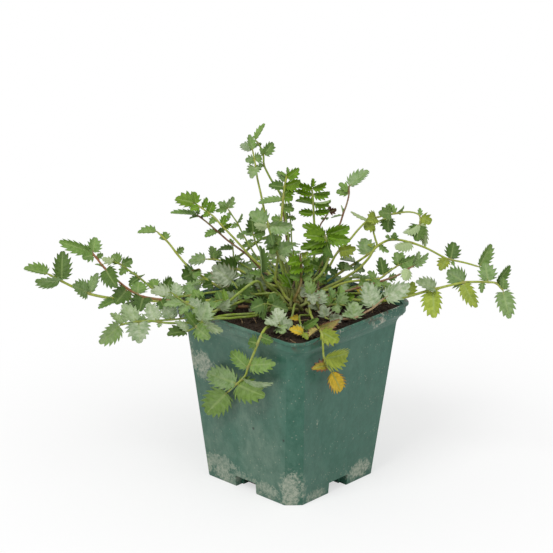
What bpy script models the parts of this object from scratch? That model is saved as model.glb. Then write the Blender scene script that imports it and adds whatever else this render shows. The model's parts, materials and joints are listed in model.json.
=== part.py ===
"""Potted salad burnet: a rosette of pinnate leaves in a square nursery pot.

Lengths are in millimetres until a mesh is finished, and then scaled to metres.
The pot's sides lie along X and Y, its underside is at Z = 0 and its axis is the Z axis.

The leaves are laid out on a sheet through the crown: the first number runs across, from the
pot's left corner to its right corner, the second runs up the sheet, which leans back from
upright by SHEET_LEAN, and the third runs into the sheet, away from the pot's front corner.
"""

import itertools
import math

import bmesh
import bpy
from mathutils import Matrix, Vector
from mathutils.bvhtree import BVHTree
from mathutils.kdtree import KDTree

MM = 0.001
GAP = 0.3  # between pieces that touch

# The pot: half widths from its axis, and how far each corner is cut or rounded.
POT_HEIGHT = 99.0
BASE_HALF = 34.8
BASE_CORNER = 7.1
WALL_TOP_HALF = 43.0
WALL_TOP_CORNER = 6.6
WALL_TOP_Z = 89.6
FLARE_Z = 87.8
BAND_HALF = 45.9
BAND_Z = 93.8
LIP_HALF = 46.9
LIP_HEIGHT = 1.5
RIM_CORNER = 8.5
MOUTH_HALF = 44.6
WALL = 1.2
CORNER_POINTS = 5

# The drain pockets: a notch in the middle of each side's foot, with a hole through its back and the floor.
POCKET_WIDTH = 15.0
POCKET_HEIGHT = 6.5
POCKET_DEPTH = 4.9
HOLE_WIDTH = 12.6
HOLE_HEIGHT = 5.4
HOLE_DEPTH = 5.0

# The compost and the rootstock that stands in it.
SOIL_EDGE_Z = 95.5
SOIL_SWELL = 0.8
ROOT_ACROSS = 3.0
ROOT_RADIUS = 12.0
ROOT_TOP_Z = 98.8
ROOT_TIP_Z = 52.0

# The sheet that the leaves are laid out on.
SHEET_TURN = math.radians(42.25)
SHEET_LEAN = math.radians(19.5)
SHEET_EYE = (-8.0, 17.0, 1138.0)  # across, up and in front of the crown: where all the sight lines meet
CROWN_Z = 95.0

# The leaves.
STALK_TAPER = 0.6
STALK_LEAST = 0.8
STALK_REACH = 0.7  # from a square stalk's middle to its edges, in thicknesses
SPREAD_ROUNDS = 60
SPREAD_STEP = 1.5  # of stalk between the places where its room is measured
BLADE_THICK = 0.5
PETIOLULE = 0.9
NODE_LENGTH = 1.6  # of stalk that a pair of leaflets grows from
NODE_MERGE = 2.4
NODE_BLADES = 3
SMALL_BLADE = 7.0
RING_RADIUS = {"outer": 11.0, "middle": 7.8, "inner": 4.8}
LEAF_RINGS = {
    "low": "outer",
    "rim": "outer",
    "hanging": "outer",
    "old": "outer",
    "back": "outer",
    "arching": "middle",
    "young": "middle",
    "tall": "inner",
}

# Colour, roughness.
COLOURS = {
    "green": ((0.13, 0.24, 0.06), 0.55),
    "grey": ((0.20, 0.29, 0.16), 0.65),
    "bright": ((0.17, 0.30, 0.04), 0.50),
    "white": ((0.38, 0.45, 0.30), 0.80),
    "yellow": ((0.46, 0.45, 0.08), 0.60),
    "pot": ((0.065, 0.15, 0.13), 0.42),
    "soil": ((0.035, 0.022, 0.014), 0.95),
    "root": ((0.13, 0.075, 0.04), 0.85),
}

# Each leaf: name, colour, stalk thickness, the route of its stalk from the crown outwards, and its
# leaflets as (place along the route, across, up, in, width, turn). The three middle numbers lead
# from the stalk to the leaflet's tip, and the turn is about that line, 0 facing out of the sheet.
LEAVES = [
    ("low_leaf_01", "green", 2.2,
     [(-8, 8.2, -3), (-16, 8, -5), (-28, 6.5, -8), (-39, 5, -11), (-51, 2.8, -14), (-66, 3, -17),
      (-84, 4, -20), (-96, 4.5, -22), (-105, 6, -23), (-110, 7.5, -24), (-116, 10, -25),
      (-123, 13.4, -26), (-130, 17, -27)],
     [(13, -12.5, 3, 2, 10, 60), (12, -15, 1, -4, 10, -55), (12, -0.5, 15, 3, 9.5, 10),
      (9.5, 3, 10.5, 3, 8, -40), (9.7, -10.5, 6, -6, 9, 50), (7.7, -10, -5.5, -3, 5, 60),
      (6.8, -10, -12, -6, 8, 10), (1.5, -7, 1, -6, 8, 10), (2.2, -7.5, -4.5, -9, 10, 0),
      (3.2, -5, 5.5, -2, 7, 20), (4.1, -5, -5.5, -5, 7, 15), (4.8, -4, 6, 2, 7, 20),
      (5.9, -3, 6, 2, 6, 20)]),
    ("low_leaf_02", "green", 1.7,
     [(-18, 0.9, -6), (-36, 0.2, -12), (-50, 1, -17), (-65, 3.4, -21), (-74, 4.6, -23),
      (-81, 6, -24), (-87, 9.3, -25), (-93, 14, -26), (-99.8, 20.4, -27), (-104.5, 26, -28),
      (-107, 29, -28)],
     [(11, -16.3, 6, 3, 7.5, -25), (10.8, 1, 8, 2, 8, 20), (10.4, -5.5, -1, -4, 7, 10),
      (9.1, -4.5, 1.5, 1, 4.5, 30), (9, 7.5, -10.5, -5, 9, 5), (7.1, -5.7, -7.4, -5, 11, 0),
      (6.2, 0, 6.5, 4, 10, 0), (5.7, -1.5, -7, -9, 11, 0), (4.5, 3, -5, -6, 7, 10),
      (2.2, -3, 6, 2, 7, 20), (2.5, -4, -4, -4, 6, 10), (10.1, 3.5, 1.5, 2, 4, 30)]),
    ("low_leaf_03", "green", 1.6,
     [(-18, 7, 3), (-36, 8.8, 2), (-54, 6.2, 0), (-62, 5.3, -2), (-69, 6, -4), (-73.5, 9.3, -5),
      (-78, 12.8, -6), (-82.5, 16.4, -7), (-87, 19.4, -8), (-91.5, 22.6, -9), (-95, 24, -10)],
     [(11, -6, 2, 2, 5.5, 40), (10.2, -4, 4.5, 4, 7, 10), (10, 5.5, 2.5, 3, 7.5, 20),
      (9.4, -2.5, -3.5, -4, 5, 0), (8.1, -4.5, 1.5, 2, 4, 65), (8, 3.5, 1, 2, 3, 75),
      (7.8, -5, -4, -3, 5, 20), (6, -1, 5.5, 5, 7, 0), (5.2, 5, 9, 6, 8, 10),
      (2.9, -4, 5, 3, 6, 20), (3.1, 4, -5, -5, 6, 10), (4.2, -2, -6, -3, 6, 20)]),
    ("low_leaf_04", "grey", 1.7,
     [(-20, -2.6, -16), (-38, -2.4, -27), (-46, -3, -30), (-51, -1, -32), (-56, 2, -34),
      (-60, 4.8, -35), (-64, 7.8, -36)],
     [(7, -10, 0, -3, 9, 40), (6.3, -1, 7, 3, 7, 20), (5.3, -9.5, -2, -5, 6, 40),
      (4.9, -3, -5, -5, 6, 10), (1.8, -2, 7, 2, 4, 20), (2.1, 5.5, 5, -4, 7, 20),
      (1.95, -4, -3.5, -4, 4, 20), (3.6, -4, 6.5, 2, 8, 10), (3.2, 1, -6.5, -4, 7, 5)]),
    ("low_leaf_05", "grey", 1.7,
     [(-20, -2.4, -21), (-35, -4, -30), (-47, -7, -36), (-56, -8.2, -40), (-66, -8.4, -44),
      (-75, -7.5, -47), (-85, -8.3, -50), (-91, -9.8, -52)],
     [(8, -9.8, -8.7, -5, 10, -30), (7.8, -6, 5.5, 2, 5, 30), (6.7, -7, 8.5, 2, 9, 20),
      (6.6, 0.8, -10.2, -8, 12, 0), (5.4, -1, -2.5, -1.5, 3, 10), (5.6, -5.5, 8.5, 2, 9, 10),
      (3.2, -3, 6, 2, 7, 10)]),
    ("low_leaf_06", "grey", 1.5,
     [(-22, 0, -15), (-37, -1.3, -22), (-48, -4, -26), (-60, -6.2, -30), (-70, -7, -33),
      (-77, -6.6, -35)],
     [(6, -6, -1, -2, 6, 20), (5.6, 0.5, 6, 3, 6, 20), (4.4, -3, 7, 2, 9, 20),
      (3.9, -1, 5.5, -1, 4, 50), (2.4, -3, -6.5, -4, 7, 5), (1.5, -4, 6, -3, 6, 20)]),
    ("low_leaf_07", "grey", 1.6,
     [(-16, -3.8, -22), (-30, -5.2, -33.6), (-40, -5.8, -38), (-47, -7.5, -40), (-51, -10.5, -41),
      (-55.5, -12.9, -42)],
     [(6, -9.5, -1.5, -4, 9, 25), (5.8, -7, 5, 1, 5, 45), (4.9, -6, 7, 1, 7, 25),
      (5, 7.5, -5, -5, 9, 10), (4.1, 10.5, -4, -3, 6, 40), (4.2, 6, 8, 4, 10, 20)]),
    ("low_leaf_08", "green", 1.9,
     [(15, 5, -4), (30, 5.2, -6), (45, 4.4, -8), (53, 5.4, -9), (60, 6.6, -10), (66, 8.2, -11),
      (72, 10, -12), (79, 11.8, -13), (86, 13.6, -14), (93, 15, -15), (100, 15.3, -16),
      (105, 15.2, -17), (109.5, 14.6, -18), (113, 11, -20)],
     [(7.5, 1.5, -14, -4, 11, 20), (7.8, -11, 3.5, 2, 8, 30), (10, -10, 5.5, 3, 11, 10),
      (9.8, 6.5, -12.5, -4, 8, 15), (12, -1, 9.5, 4, 10, 0), (11.4, -0.5, -5.5, -3, 4, 20),
      (14, 3, -14, -5, 10, 5), (14, 0.5, 6.5, 3, 7, 20), (13, 8, 9.5, 2, 6, 35),
      (5.3, 3, 7.5, 1, 7, 10)]),
    ("arching_leaf_01", "green", 1.8,
     [(-14, 6, 5), (-26, 7.5, 8), (-35, 9.5, 10), (-42, 12.8, 12), (-50, 18, 14), (-56, 22.3, 15),
      (-61.5, 28.5, 16), (-65, 33, 17), (-67.6, 35.9, 17), (-72.6, 40.5, 18)],
     [(10, -10, -0.5, 2, 7, 50), (9, -4.8, 2.4, 2, 4, 40), (9, -1, 5, 2, 5, 30),
      (7.1, 3.5, 3, 2, 4.5, 20), (7.1, -3, 3.8, 1, 3.5, 60), (5.4, 3, 1, -2, 8, 20),
      (5.2, -7, -3, -3, 10, 10), (5.6, 3.5, -8, -5, 9, 0), (3, -11, 8.5, -2, 6, 55),
      (1.7, -4, 5.5, -3, 7, 15), (2.4, -3, -6, -6, 8, 5), (4, -5.5, -1.5, -4, 6, 15)]),
    ("arching_leaf_02", "grey", 1.6,
     [(-4, 8.2, 8), (-10, 10.8, 13), (-16, 14, 18), (-22, 17, 23), (-28.5, 20.5, 28),
      (-32.5, 23, 30), (-36, 24.8, 32), (-41, 25.8, 34), (-46, 26, 35)],
     [(9, -9.5, -1.5, 2, 9, 45), (8.2, -1.5, 7, 3, 6, 30), (5.1, -13, 0.5, -5, 12, 10),
      (5.2, 8, 2, 2, 8, 15), (5.7, 1, 5, 2, 5, 30), (8.6, 7.5, 5, 2, 6, 45),
      (3.2, -6, -5.5, -6, 9, 10), (2.2, 5, 3.5, 0, 6, 20)]),
    ("arching_leaf_03", "green", 1.2,
     [(-12, 10, 20), (-22, 18, 26), (-29.6, 26, 30), (-31.3, 30, 31), (-32, 33.5, 31)],
     [(4.4, -8, -0.5, 2, 6, 55), (5, -1.5, 3.5, 2, 3, 40), (3.2, 5, -1, -2, 4.5, 30)]),
    ("arching_leaf_04", "green", 1.4,
     [(-8, 13, 8), (-15, 19.6, 11), (-19.5, 24, 13), (-24.5, 28.8, 15), (-30, 32.8, 17),
      (-35, 36.4, 19), (-40.3, 41, 20), (-46, 45.8, 21), (-51, 49.5, 22)],
     [(9, -14, 1, 1, 7, 72), (8.8, -5, -1.2, 0, 4, 50), (9, 0.5, 4, 1, 3, 50),
      (8.7, 3, 2, 1, 3, 60), (7, -6, -3.2, -3, 5.5, 45), (7, 4.5, 2, 2, 4.5, 40)]),
    ("arching_leaf_05", "bright", 1.5,
     [(-8, 14.6, 3), (-15, 21.5, 5), (-20, 25.5, 7), (-25.5, 31.2, 9), (-30.5, 36.6, 11),
      (-35, 41.2, 12), (-39, 45.3, 13), (-42.5, 49, 14), (-45, 50.7, 14.5), (-48.5, 53.2, 15),
      (-52, 55.5, 16)],
     [(11, -10.5, 2.8, 3, 10.5, 30), (10.9, -1.5, 6.5, 2, 6, 35), (10.3, -5, -1.5, -2, 5, 20),
      (10, 2.5, 5.5, 3, 4.5, 30), (9, 2, 6, 3, 6, 20), (8.8, -3, -1.5, -2, 4, 20),
      (7.6, -3, -2.5, -2, 4.5, 20), (6.7, 1.5, 5.5, 4, 5, 30), (6.4, 4, 2, -2, 4, 40)]),
    ("arching_leaf_06", "grey", 1.2,
     [(-6, 15, 10), (-12.5, 22, 12), (-18.5, 27, 14), (-22, 32, 15), (-26, 38.6, 16),
      (-29.5, 45.4, 17), (-32, 49, 17.5), (-34.8, 53.2, 18)],
     [(8, -5, 3, 2, 5.5, 30), (8, 3, 6, 1, 5, 25), (8, -6, -1.5, -2, 4.5, 30),
      (7.6, -0.8, -4.5, -1, 3, 70), (6, 2.3, 5, 2, 3, 55), (5.9, -3.2, -2, -2, 3.5, 20),
      (5, -3.6, -0.5, -2, 5, 10), (3.2, -3, -1, -2, 4, 20)]),
    ("arching_leaf_07", "green", 1.6,
     [(13, 9, 3), (24, 14.2, 6), (32, 19, 8), (36.5, 22.5, 9), (41, 27.5, 10), (44.6, 33, 11),
      (51, 37, 12), (57, 37.3, 13), (64, 35.8, 14), (72, 32.9, 15), (80, 28.8, 16),
      (84, 27.2, 16), (93, 25.3, 17), (100, 23.3, 18)],
     [(12.1, 2, 9, 3, 9.5, 5), (12.2, 1, -3, -1, 2.5, 20), (11.8, -4, -6, -3, 7, 15),
      (14, 6, 12, 3, 7.5, 25), (9, -12, -3.5, -3, 7, 40), (7.5, 0.5, 3.5, -3, 5, 10),
      (7.6, 3.5, 0.5, -3, 5, 10), (7.3, -3.5, 1.5, -2, 4, 10), (6.3, 5, -3.5, -2, 4, 20)]),
    ("arching_leaf_08", "green", 1.4,
     [(12, 11, 9), (18, 19, 12), (23, 28.5, 14), (26.7, 33, 15), (31, 37.5, 16), (35.5, 43, 17),
      (40.5, 47.6, 18), (48, 50, 19), (55, 51.4, 20), (61, 52.3, 21), (65.5, 51.8, 22),
      (68, 50, 22), (67.9, 45.6, 21)],
     [(9, -4, 5, 2, 4.5, 30), (9.1, 3.8, 4, 2, 5, 20), (8.7, -9, 1, -6.5, 8, 5),
      (7.6, -7, -3, -3, 8, 5), (12, -0.2, 4.8, 1, 3, 20), (12.1, 6, -2.5, 1, 8, 10),
      (13, -2, -8.5, -4, 10, 0), (13, -9.5, -6, -6, 6, 30), (12.8, 3, -12, -3, 5.5, 45),
      (3.4, 9.5, 2, 1, 8, 10), (7, -9, 4.5, 0, 3, 50)]),
    ("arching_leaf_09", "grey", 1.4,
     [(15, 13, 14), (28, 21, 18), (38, 27.5, 20), (44.8, 33.5, 21), (44.2, 38, 21.5),
      (43.2, 42, 22), (43.8, 45.8, 22.5), (47.5, 47.8, 23), (51, 49, 23.5)],
     [(9, 0, -7.5, -3, 8, 10), (7, -5.5, -2.5, -3, 8, 5), (3.2, -1.5, 9, 3, 10, 5),
      (4, -4.5, 1, 0, 2.5, 20), (2.3, -5, -4, -4, 6, 20), (2.5, 5, -4, -5, 6, 20),
      (2.6, -8.5, 1.5, -2, 7, 25), (1.9, -0.5, 5, 1, 7, 10), (1.7, -3.5, 2.5, -1, 6, 20)]),
    ("arching_leaf_10", "green", 1.6,
     [(20, 10.5, -2), (28, 14, -3), (36, 15.4, -4), (43, 15.8, -5), (47.5, 16.8, -5),
      (51.5, 20, -5), (57, 23.8, -5)],
     [(7, 10.5, 4.5, 0, 7.5, 20), (7, -1.5, 6.5, 1, 6.5, 5), (6.8, 3, 8, 2, 6, 20),
      (5.4, -1.5, 9.5, 1, 7, 10), (5.8, 4, 3.5, 1, 2, 20), (4.4, -4, 4, 2, 5, 20),
      (4.6, -2, -4, -4, 5, 20), (1.9, 2, -5.5, -3, 6, 10), (3, 5, -2.5, -3, 7, 20)]),
    ("arching_leaf_11", "grey", 1.4,
     [(20, 7, -10), (34, 11, -12), (46, 14.5, -13), (54.5, 17.4, -14), (59, 19.6, -14),
      (62.5, 22, -14), (65, 23.3, -14)],
     [(6, -2, -6, -3, 7, 5), (7, 3, 7.5, 1, 4.5, 30), (7, 8, 7, 1, 5, 30),
      (3.6, 5.5, 2.5, 1, 4.5, 20), (3.2, -4, -3.5, -2, 5, 10), (2.5, 1.5, -5.5, -4, 7, 10)]),
    ("tall_leaf_01", "green", 1.3,
     [(-6, 14, -1), (-13, 24, 0), (-18.2, 32.5, 1), (-20, 36.5, 1), (-21, 40, 1.5)],
     [(5, -0.5, 8.5, -1, 8, 10), (4.8, -6, 0.7, -2, 5, 30), (4.8, 6, 1.5, 2, 7, 25),
      (4, -3.5, -1.2, -3, 3, 70)]),
    ("tall_leaf_02", "grey", 1.5,
     [(-2, 16, 1), (-6, 27, 2), (-9, 36, 3), (-12.5, 44, 3.5), (-15.2, 53, 4), (-17, 61, 5),
      (-19, 69.5, 6), (-20, 76, 6), (-20.8, 80, 6.5), (-21.7, 84.5, 7)],
     [(10, -6.3, 3, 3, 6.5, 30), (10, -2, 8, 1, 5, 30), (8.8, -4.5, -0.5, -2, 5.5, 10),
      (8.9, 3.5, 1.5, 2, 6.5, 0), (8, -2.5, -9, -3, 7, 10), (8.05, 3, -2, -2, 3, 20)]),
    ("tall_leaf_03", "green", 1.5,
     [(2, 16, 5), (-1, 30, 6), (-3, 44, 7), (-4.5, 54, 8), (-6.2, 60.2, 9), (-8.6, 64.5, 10),
      (-11, 67.8, 11), (-13.5, 72.2, 12), (-15.6, 76.8, 13), (-16, 82, 13), (-18.2, 87.4, 14),
      (-20.5, 90, 14)],
     [(12, 5, 8.5, 2, 5, -50), (11.2, -2.5, -2.5, 0, 3, 30), (11.4, 2, -1.5, 1, 2.5, 30),
      (10, 5, 6.5, 3, 6.5, 15), (10, -2.2, 4, -1, 4.5, 30), (9, -3, -1.5, -1, 3, 20)]),
    ("tall_leaf_04", "bright", 1.7,
     [(-7.5, 8, -2), (-8.3, 14, -2), (-8, 24, -1), (-7.2, 34, 0), (-6.2, 45, 0), (-5.4, 54, 0),
      (-4.9, 61, 0), (-4.4, 65, 0), (-3.6, 69, 0), (-3.1, 72, 0)],
     [(10, 0.2, 3.5, 1, 2.5, 40), (9.2, 6.5, 5, 1, 6, 25), (9.4, -4, 2.5, 1, 3, 60),
      (8.6, -5, 6.5, 3, 4.5, 30), (8, -8, 0.5, -1, 6, 25), (8.1, 8, 3, 1, 8, 15),
      (7, 5, 4.5, 2, 7, 10), (6.55, -12, -2, 3, 5, 45), (6.8, 5, -0.5, 1, 6, 20),
      (6.7, -1.5, 3.5, 2, 3, 30), (6, 6, -1, 1, 5, 20), (5.2, -5, 1, 0, 5, 20)]),
    ("tall_leaf_05", "green", 1.0,
     [(3, 16, 9), (1, 28, 9.5), (-0.3, 36, 10), (-0.7, 43, 10), (-1.3, 49, 10), (-2, 54, 10)],
     [(6, 0.8, 2.5, 1, 3.5, 10), (5, 3, -1, -1, 3.5, 10), (5, -2.8, -1, 0, 2.8, 20),
      (4, 1.8, -1, 0, 2, 20)]),
    ("tall_leaf_06", "green", 1.0,
     [(1, 16, 12), (-1.5, 28, 13), (-3, 36, 13), (-4, 43, 13), (-4.7, 49, 13), (-4.8, 54, 13)],
     [(6, -1.8, 2.2, 1, 2.8, 20), (6, 1.6, 2, 1, 2.8, 20), (5.2, 2.2, 0.5, -1, 3.5, 10),
      (5.1, -1.8, 0.8, 0, 3, 20), (3.2, 2, 2.4, 0, 2.5, 20)]),
    ("tall_leaf_07", "grey", 1.7,
     [(-3, 14, -6), (-6, 24, -8), (-8.5, 31, -9), (-10.5, 37, -10), (-12.3, 42, -11),
      (-13.5, 45, -11)],
     [(6, -9, 5, -2, 10.5, 20), (5.5, -8, 1, -4, 5, 60), (5.6, 12.5, 0.5, 2, 9, 25),
      (4.6, 2, -7, -3, 5, 20), (4.4, 0, -5.5, -4, 7, 10), (3.6, -0.5, -5.5, -4, 7, 15),
      (4.1, 5, 0, -2, 6, 20), (2.9, 8, 3.5, 2, 9, 10), (2.7, -5.5, 0, -4, 5, 50),
      (2.5, 4, -3, -4, 4, 45)]),
    ("tall_leaf_08", "bright", 1.7,
     [(10, 10, 3), (11.5, 20, 4), (12, 30, 4), (12, 40, 4), (11.6, 47, 4), (11.2, 53, 4),
      (11, 57.5, 4), (10.6, 61.5, 4), (10, 64.5, 4)],
     [(5.7, 8, 1, 2, 7.5, 5), (5.6, -7.6, 0.8, 1, 7, 5), (6.8, 9, 1.5, 2, 8, 5),
      (6.6, -9, 1.8, 2, 8, 5), (7.9, 8.8, 1.2, 2, 8, 5), (7.7, -9, 2.6, 2, 8, 5),
      (8.9, 7.5, 3, 2, 8, 5), (8.6, -7.5, 2.5, 2, 8, 5), (9, 0.5, 5, 1, 5, 20)]),
    ("tall_leaf_09", "green", 1.2,
     [(10, 15, 8), (12, 30, 9), (14.5, 43.5, 10), (17, 48, 10), (19.3, 51.8, 10)],
     [(5, 4, 1.5, 0, 4, 20), (5, 0.8, 3, 1, 3, 10), (4, -1.8, 0.5, 0, 2, 20),
      (4.1, 2, 0.3, 0, 2, 20)]),
    ("tall_leaf_10", "grey", 1.4,
     [(12, 14, 5), (17, 28, 7), (22, 38, 9), (25.5, 45.8, 10), (27, 50.8, 10), (28.7, 55.5, 10),
      (30, 61, 11), (30, 65.5, 11)],
     [(8, 10, 8.5, 3, 10, -40), (7.15, -6.5, 1, 1, 6, 20), (7.35, -5, 4.2, 2, 5.5, 30),
      (5, -1, 5, 1, 2.6, 30), (4.9, -6, -1.5, -1, 2.6, 50)]),
    ("young_leaf_01", "bright", 2.0,
     [(8, 12.6, -7), (12, 15, -9), (16, 19, -10), (18.7, 24.5, -11), (19.6, 30, -12),
      (18.5, 36, -12), (17.5, 39.5, -12)],
     [(7, 12.5, 4, 2, 10, 10), (6.6, 12.5, -1, -2, 8, 20), (7, -11.5, 4.5, 1, 7, 20),
      (6.6, -12, 1, -2, 8, 15), (6.1, -9.5, -3, -4, 8, 10), (5.9, 3.5, -9, -5, 7, 40),
      (5.4, -14, 0, -1, 9, 15), (5, -12, -2, -4, 5, 40)]),
    ("young_leaf_02", "green", 1.5,
     [(-8, 8, -8), (-14, 14, -14), (-16.2, 18.5, -16)],
     [(3, -1, 14, 0, 8, 50), (2.8, -6, 1, -2, 6, 20), (2.4, 5, 2, 1, 6, 20)]),
    ("young_leaf_03", "bright", 1.9,
     [(6.6, 4, -8), (6.2, 12, -10), (5.3, 20, -11), (4.7, 26, -12), (4.5, 29, -12)],
     [(5, 5, 1.5, -1, 6, 30), (4, -6.5, -2, -3, 8, 10), (3.4, -5, -3, -4, 8, 0),
      (3.6, 4.5, 3, -1, 6, 15), (3, 5.5, 3, 2, 7, 20), (2.4, 5, 4, 1, 7, 25),
      (2.5, -6, 1, -1, 7, 20), (3.5, -6, 1.5, -1, 8, 10)]),
    ("young_leaf_04", "bright", 1.6,
     [(0.5, 8, -8), (-0.5, 11.5, -9)],
     [(2, -6, 6.5, -1, 5, 20), (2, -3.5, 8.5, -1, 5, 20), (1.6, -6.5, 3, -3, 5, 10)]),
    ("rim_leaf_01", "white", 1.5,
     [(20, -4, -20), (32, -5.4, -24), (38.5, -2.6, -23.5), (44, 1, -21), (49.5, 6, -20)],
     [(4, -4.5, 12.5, 2, 11, 15), (5, 12.5, 7.5, 1, 10, 20), (2.1, 1.5, 8.5, 2, 10, 0),
      (2.3, -9, 1.5, -2, 6, 40)]),
    ("rim_leaf_02", "white", 1.6,
     [(-3, -4, -24), (-5, -7.6, -37), (-6, -9.4, -44)],
     [(3, -8, 1.5, -3, 10, 20), (2.8, -1.5, 8.5, 2, 9, 10), (3, 6.2, 2.5, 1, 8, 10),
      (3, 2, -3.5, -5, 7, 0)]),
    ("rim_leaf_03", "grey", 1.5,
     [(10, -4, -20), (16, -5.5, -28), (20, -5.5, -32)],
     [(3, 7, 1.5, -1, 7, 25), (2.5, -2, 6, 2, 8, 10), (1.8, -6, 2, 1, 6, 10),
      (1, -4.5, -3.5, -4, 8, 10), (1.2, 1, -6, -8, 8, 5), (1.6, 3, 7, 1, 8, 10),
      (1.3, -4, 6.5, 1, 8, 10)]),
    ("rim_leaf_04", "green", 1.5,
     [(12, 1, -12), (22, 2, -17), (29, 2, -20)],
     [(3, 6, 1, -2, 6, 20), (2.5, 3, 6, 2, 7, 10), (1.9, -3, 5, 1, 6, 10),
      (2.2, 2, -4, -4, 6, 10)]),
    ("rim_leaf_05", "grey", 1.5,
     [(-14, 3, -11), (-25.5, 5.5, -15), (-28.5, 9.8, -16), (-31, 14, -14)],
     [(4, -10.5, 8, -1, 12, -10), (3.3, 8, 3.5, 1, 8, 15), (2.4, 6, 5, -2, 8, 10),
      (2, 8.5, 1, -3, 9, 5), (1.6, -5, -3, -2, 7, 10)]),
    ("rim_leaf_06", "green", 1.5,
     [(-8, 1.5, -22), (-14, 2.5, -31)],
     [(2, -7, -2.5, -1, 9, 5), (2, -0.3, -8, -2, 8, 5), (1.5, 8.5, -2.5, -2, 8.5, 5),
      (1.1, -2, 6, 1, 8, 10)]),
    ("rim_leaf_07", "green", 1.5,
     [(-16, 5, -8), (-27, 5.5, -12), (-37, 4, -16), (-45, 2, -20)],
     [(4, -9, -1, -3, 9, 10), (3.3, -3, -6.5, -5, 8, 10), (3.1, -2, 4.5, 3, 6, 15),
      (2.3, -2, -6, -6, 7, 5), (2.1, 1, 6.5, 1, 7, 10), (1.4, -1, -5.5, -5, 6, 10),
      (1.2, 3, 5.5, 0, 6, 20)]),
    ("rim_leaf_08", "green", 1.5,
     [(14, 6, -2), (25, 8, -1), (35, 8.5, 0), (42, 8, 1)],
     [(4, 7, -1, 1, 6, 10), (3.3, 2, -6, -3, 7, 10), (3.1, 1, 5, 2, 5, 20),
      (2.3, -1, -6, -5, 7, 10), (2.2, 2, 5.5, 1, 6, 20), (1.4, -2, -5, -4, 6, 10),
      (1.2, -1, 5.5, 1, 6, 20)]),
    ("hanging_leaf_01", "green", 1.8,
     [(-7, -6, -27), (-11, -9.2, -41), (-13.6, -11, -48.5), (-16.2, -15.8, -51),
      (-19.5, -24, -43.5), (-22.7, -32, -35), (-24.3, -36.5, -31), (-28.5, -40.5, -25),
      (-33.5, -45, -18)],
     [(4.4, -4.5, 1, 4, 8, 20), (3.9, 6, -2, -5, 5.5, 15), (6, -9, 7.5, 7, 7.5, 0),
      (5.8, 13, 2, -14.5, 8.5, 0), (8, -15.5, 4.5, 14, 12, 5), (8.05, 14, -5.5, -13, 13, 0),
      (7.4, 16, -1.5, -16, 5, 50), (9, -11.5, -11.5, 15, 14, 0)]),
    ("hanging_leaf_02", "yellow", 1.5,
     [(11, -5, -24), (14, -9, -37), (15, -10.3, -46), (17, -14, -55), (17.5, -20, -54),
      (17.8, -25, -50), (19, -29.5, -45), (22, -33.5, -40)],
     [(6.3, 12, 1.5, 12, 12, 0), (7.2, -7.5, -1, -8.5, 6, 10), (8, 5.5, -9.5, 9, 10, 0),
      (3.2, -5, -3.5, -4, 6, 20), (4.3, 2.5, -3, -1, 4, 10), (2.9, 10.5, 3.5, 4, 6, 35),
      (3.5, 9, -5, 3, 9, 0)]),
    ("young_leaf_05", "green", 1.5,
     [(11, 9, 8), (12, 15, 13), (14, 21.5, 16)],
     [(3, 2, 6, 2, 7, 20), (2.8, -5, 3.5, 1, 6, 20), (2.9, 7, 1, -1, 7, 20),
      (2.2, 6, -2, -2, 6, 20), (2.1, -5, -1, 0, 6, 20)]),
    ("young_leaf_06", "bright", 1.5,
     [(13, 2.5, -11), (22, 5, -15), (27, 6, -17)],
     [(3, 6, 1.5, -2, 7, 15), (2.6, 1, 6.5, 2, 6, 20), (2, -1.5, 6, 2, 6, 20),
      (2.2, 3, -4.5, -3, 6, 10), (2, -1.5, 5, 1, 5, 20), (3, 5.5, 3, -1, 5, 20)]),
    ("young_leaf_07", "bright", 1.5,
     [(9, 10, 0), (13, 18, 1), (16, 25, 1)],
     [(3, 3, 6.5, 1, 7, 15), (2.6, -6, 2.5, 0, 7, 20), (2.5, 6, 0.5, 0, 7, 20),
      (1.9, -5, 0, -1, 6, 20), (1.8, 6, -0.5, -1, 6, 20)]),
    ("old_leaf_01", "yellow", 1.4,
     [(4.5, -5.6, -25), (6, -10.3, -39), (7, -13, -46)],
     [(3, -7, 2, 0, 5.5, 20), (2.7, -3.5, 3, 2, 4, 20), (3, 5.5, 1.5, 3, 6, 20),
      (3, 2, -3, -4, 4, 0), (2, 9.5, 2, 1, 5, 30), (1.2, -5.5, -0.5, -3, 3.5, 10)]),
    ("back_leaf_01", "green", 1.7,
     [(-14, 12, 17), (-28, 19, 33), (-40, 18.5, 50), (-50, 12, 65), (-56, 3.5, 76)], []),
    ("back_leaf_02", "grey", 1.7,
     [(-9, 15, 22), (-16, 21, 39), (-23, 22, 56), (-28, 16.5, 71), (-31, 6, 83)], []),
    ("back_leaf_03", "green", 1.8,
     [(0, 19, 23), (-2, 29, 41), (-4, 34, 58), (-6, 33.5, 77), (-7, 26, 92), (-8, 16, 105)], []),
    ("back_leaf_04", "green", 1.7,
     [(7, 16, 22), (9, 24.5, 40), (11, 26, 56), (13, 22, 71), (14, 13, 82), (15, 3, 92)], []),
    ("back_leaf_05", "grey", 1.7,
     [(20, 12.5, 15), (32, 16, 28), (42, 15.5, 41), (48, 10, 52), (50, 1, 62)], []),
    ("back_leaf_06", "green", 1.6,
     [(22, 8, 7), (36, 11.5, 15), (46, 13, 26), (50, 10.5, 38), (51, 3, 49)], []),
    ("back_leaf_07", "grey", 1.6,
     [(-20, 9, 9), (-36, 14.5, 18), (-48, 15, 28), (-56, 10, 37), (-60, 1.5, 46)], []),
    ("back_leaf_08", "green", 1.6,
     [(-6, 15, 27), (-10, 22.5, 43), (-15, 26, 61), (-19, 23, 77), (-22, 15, 90)], []),
]
PAIRS = 5  # of leaflets on a leaf that lists none
PAIRED_FROM = 0.42
PAIRED_BLADE = (7.0, 12.5)  # length of the first and the last pair
PAIRED_WIDTH = 0.72

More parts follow.
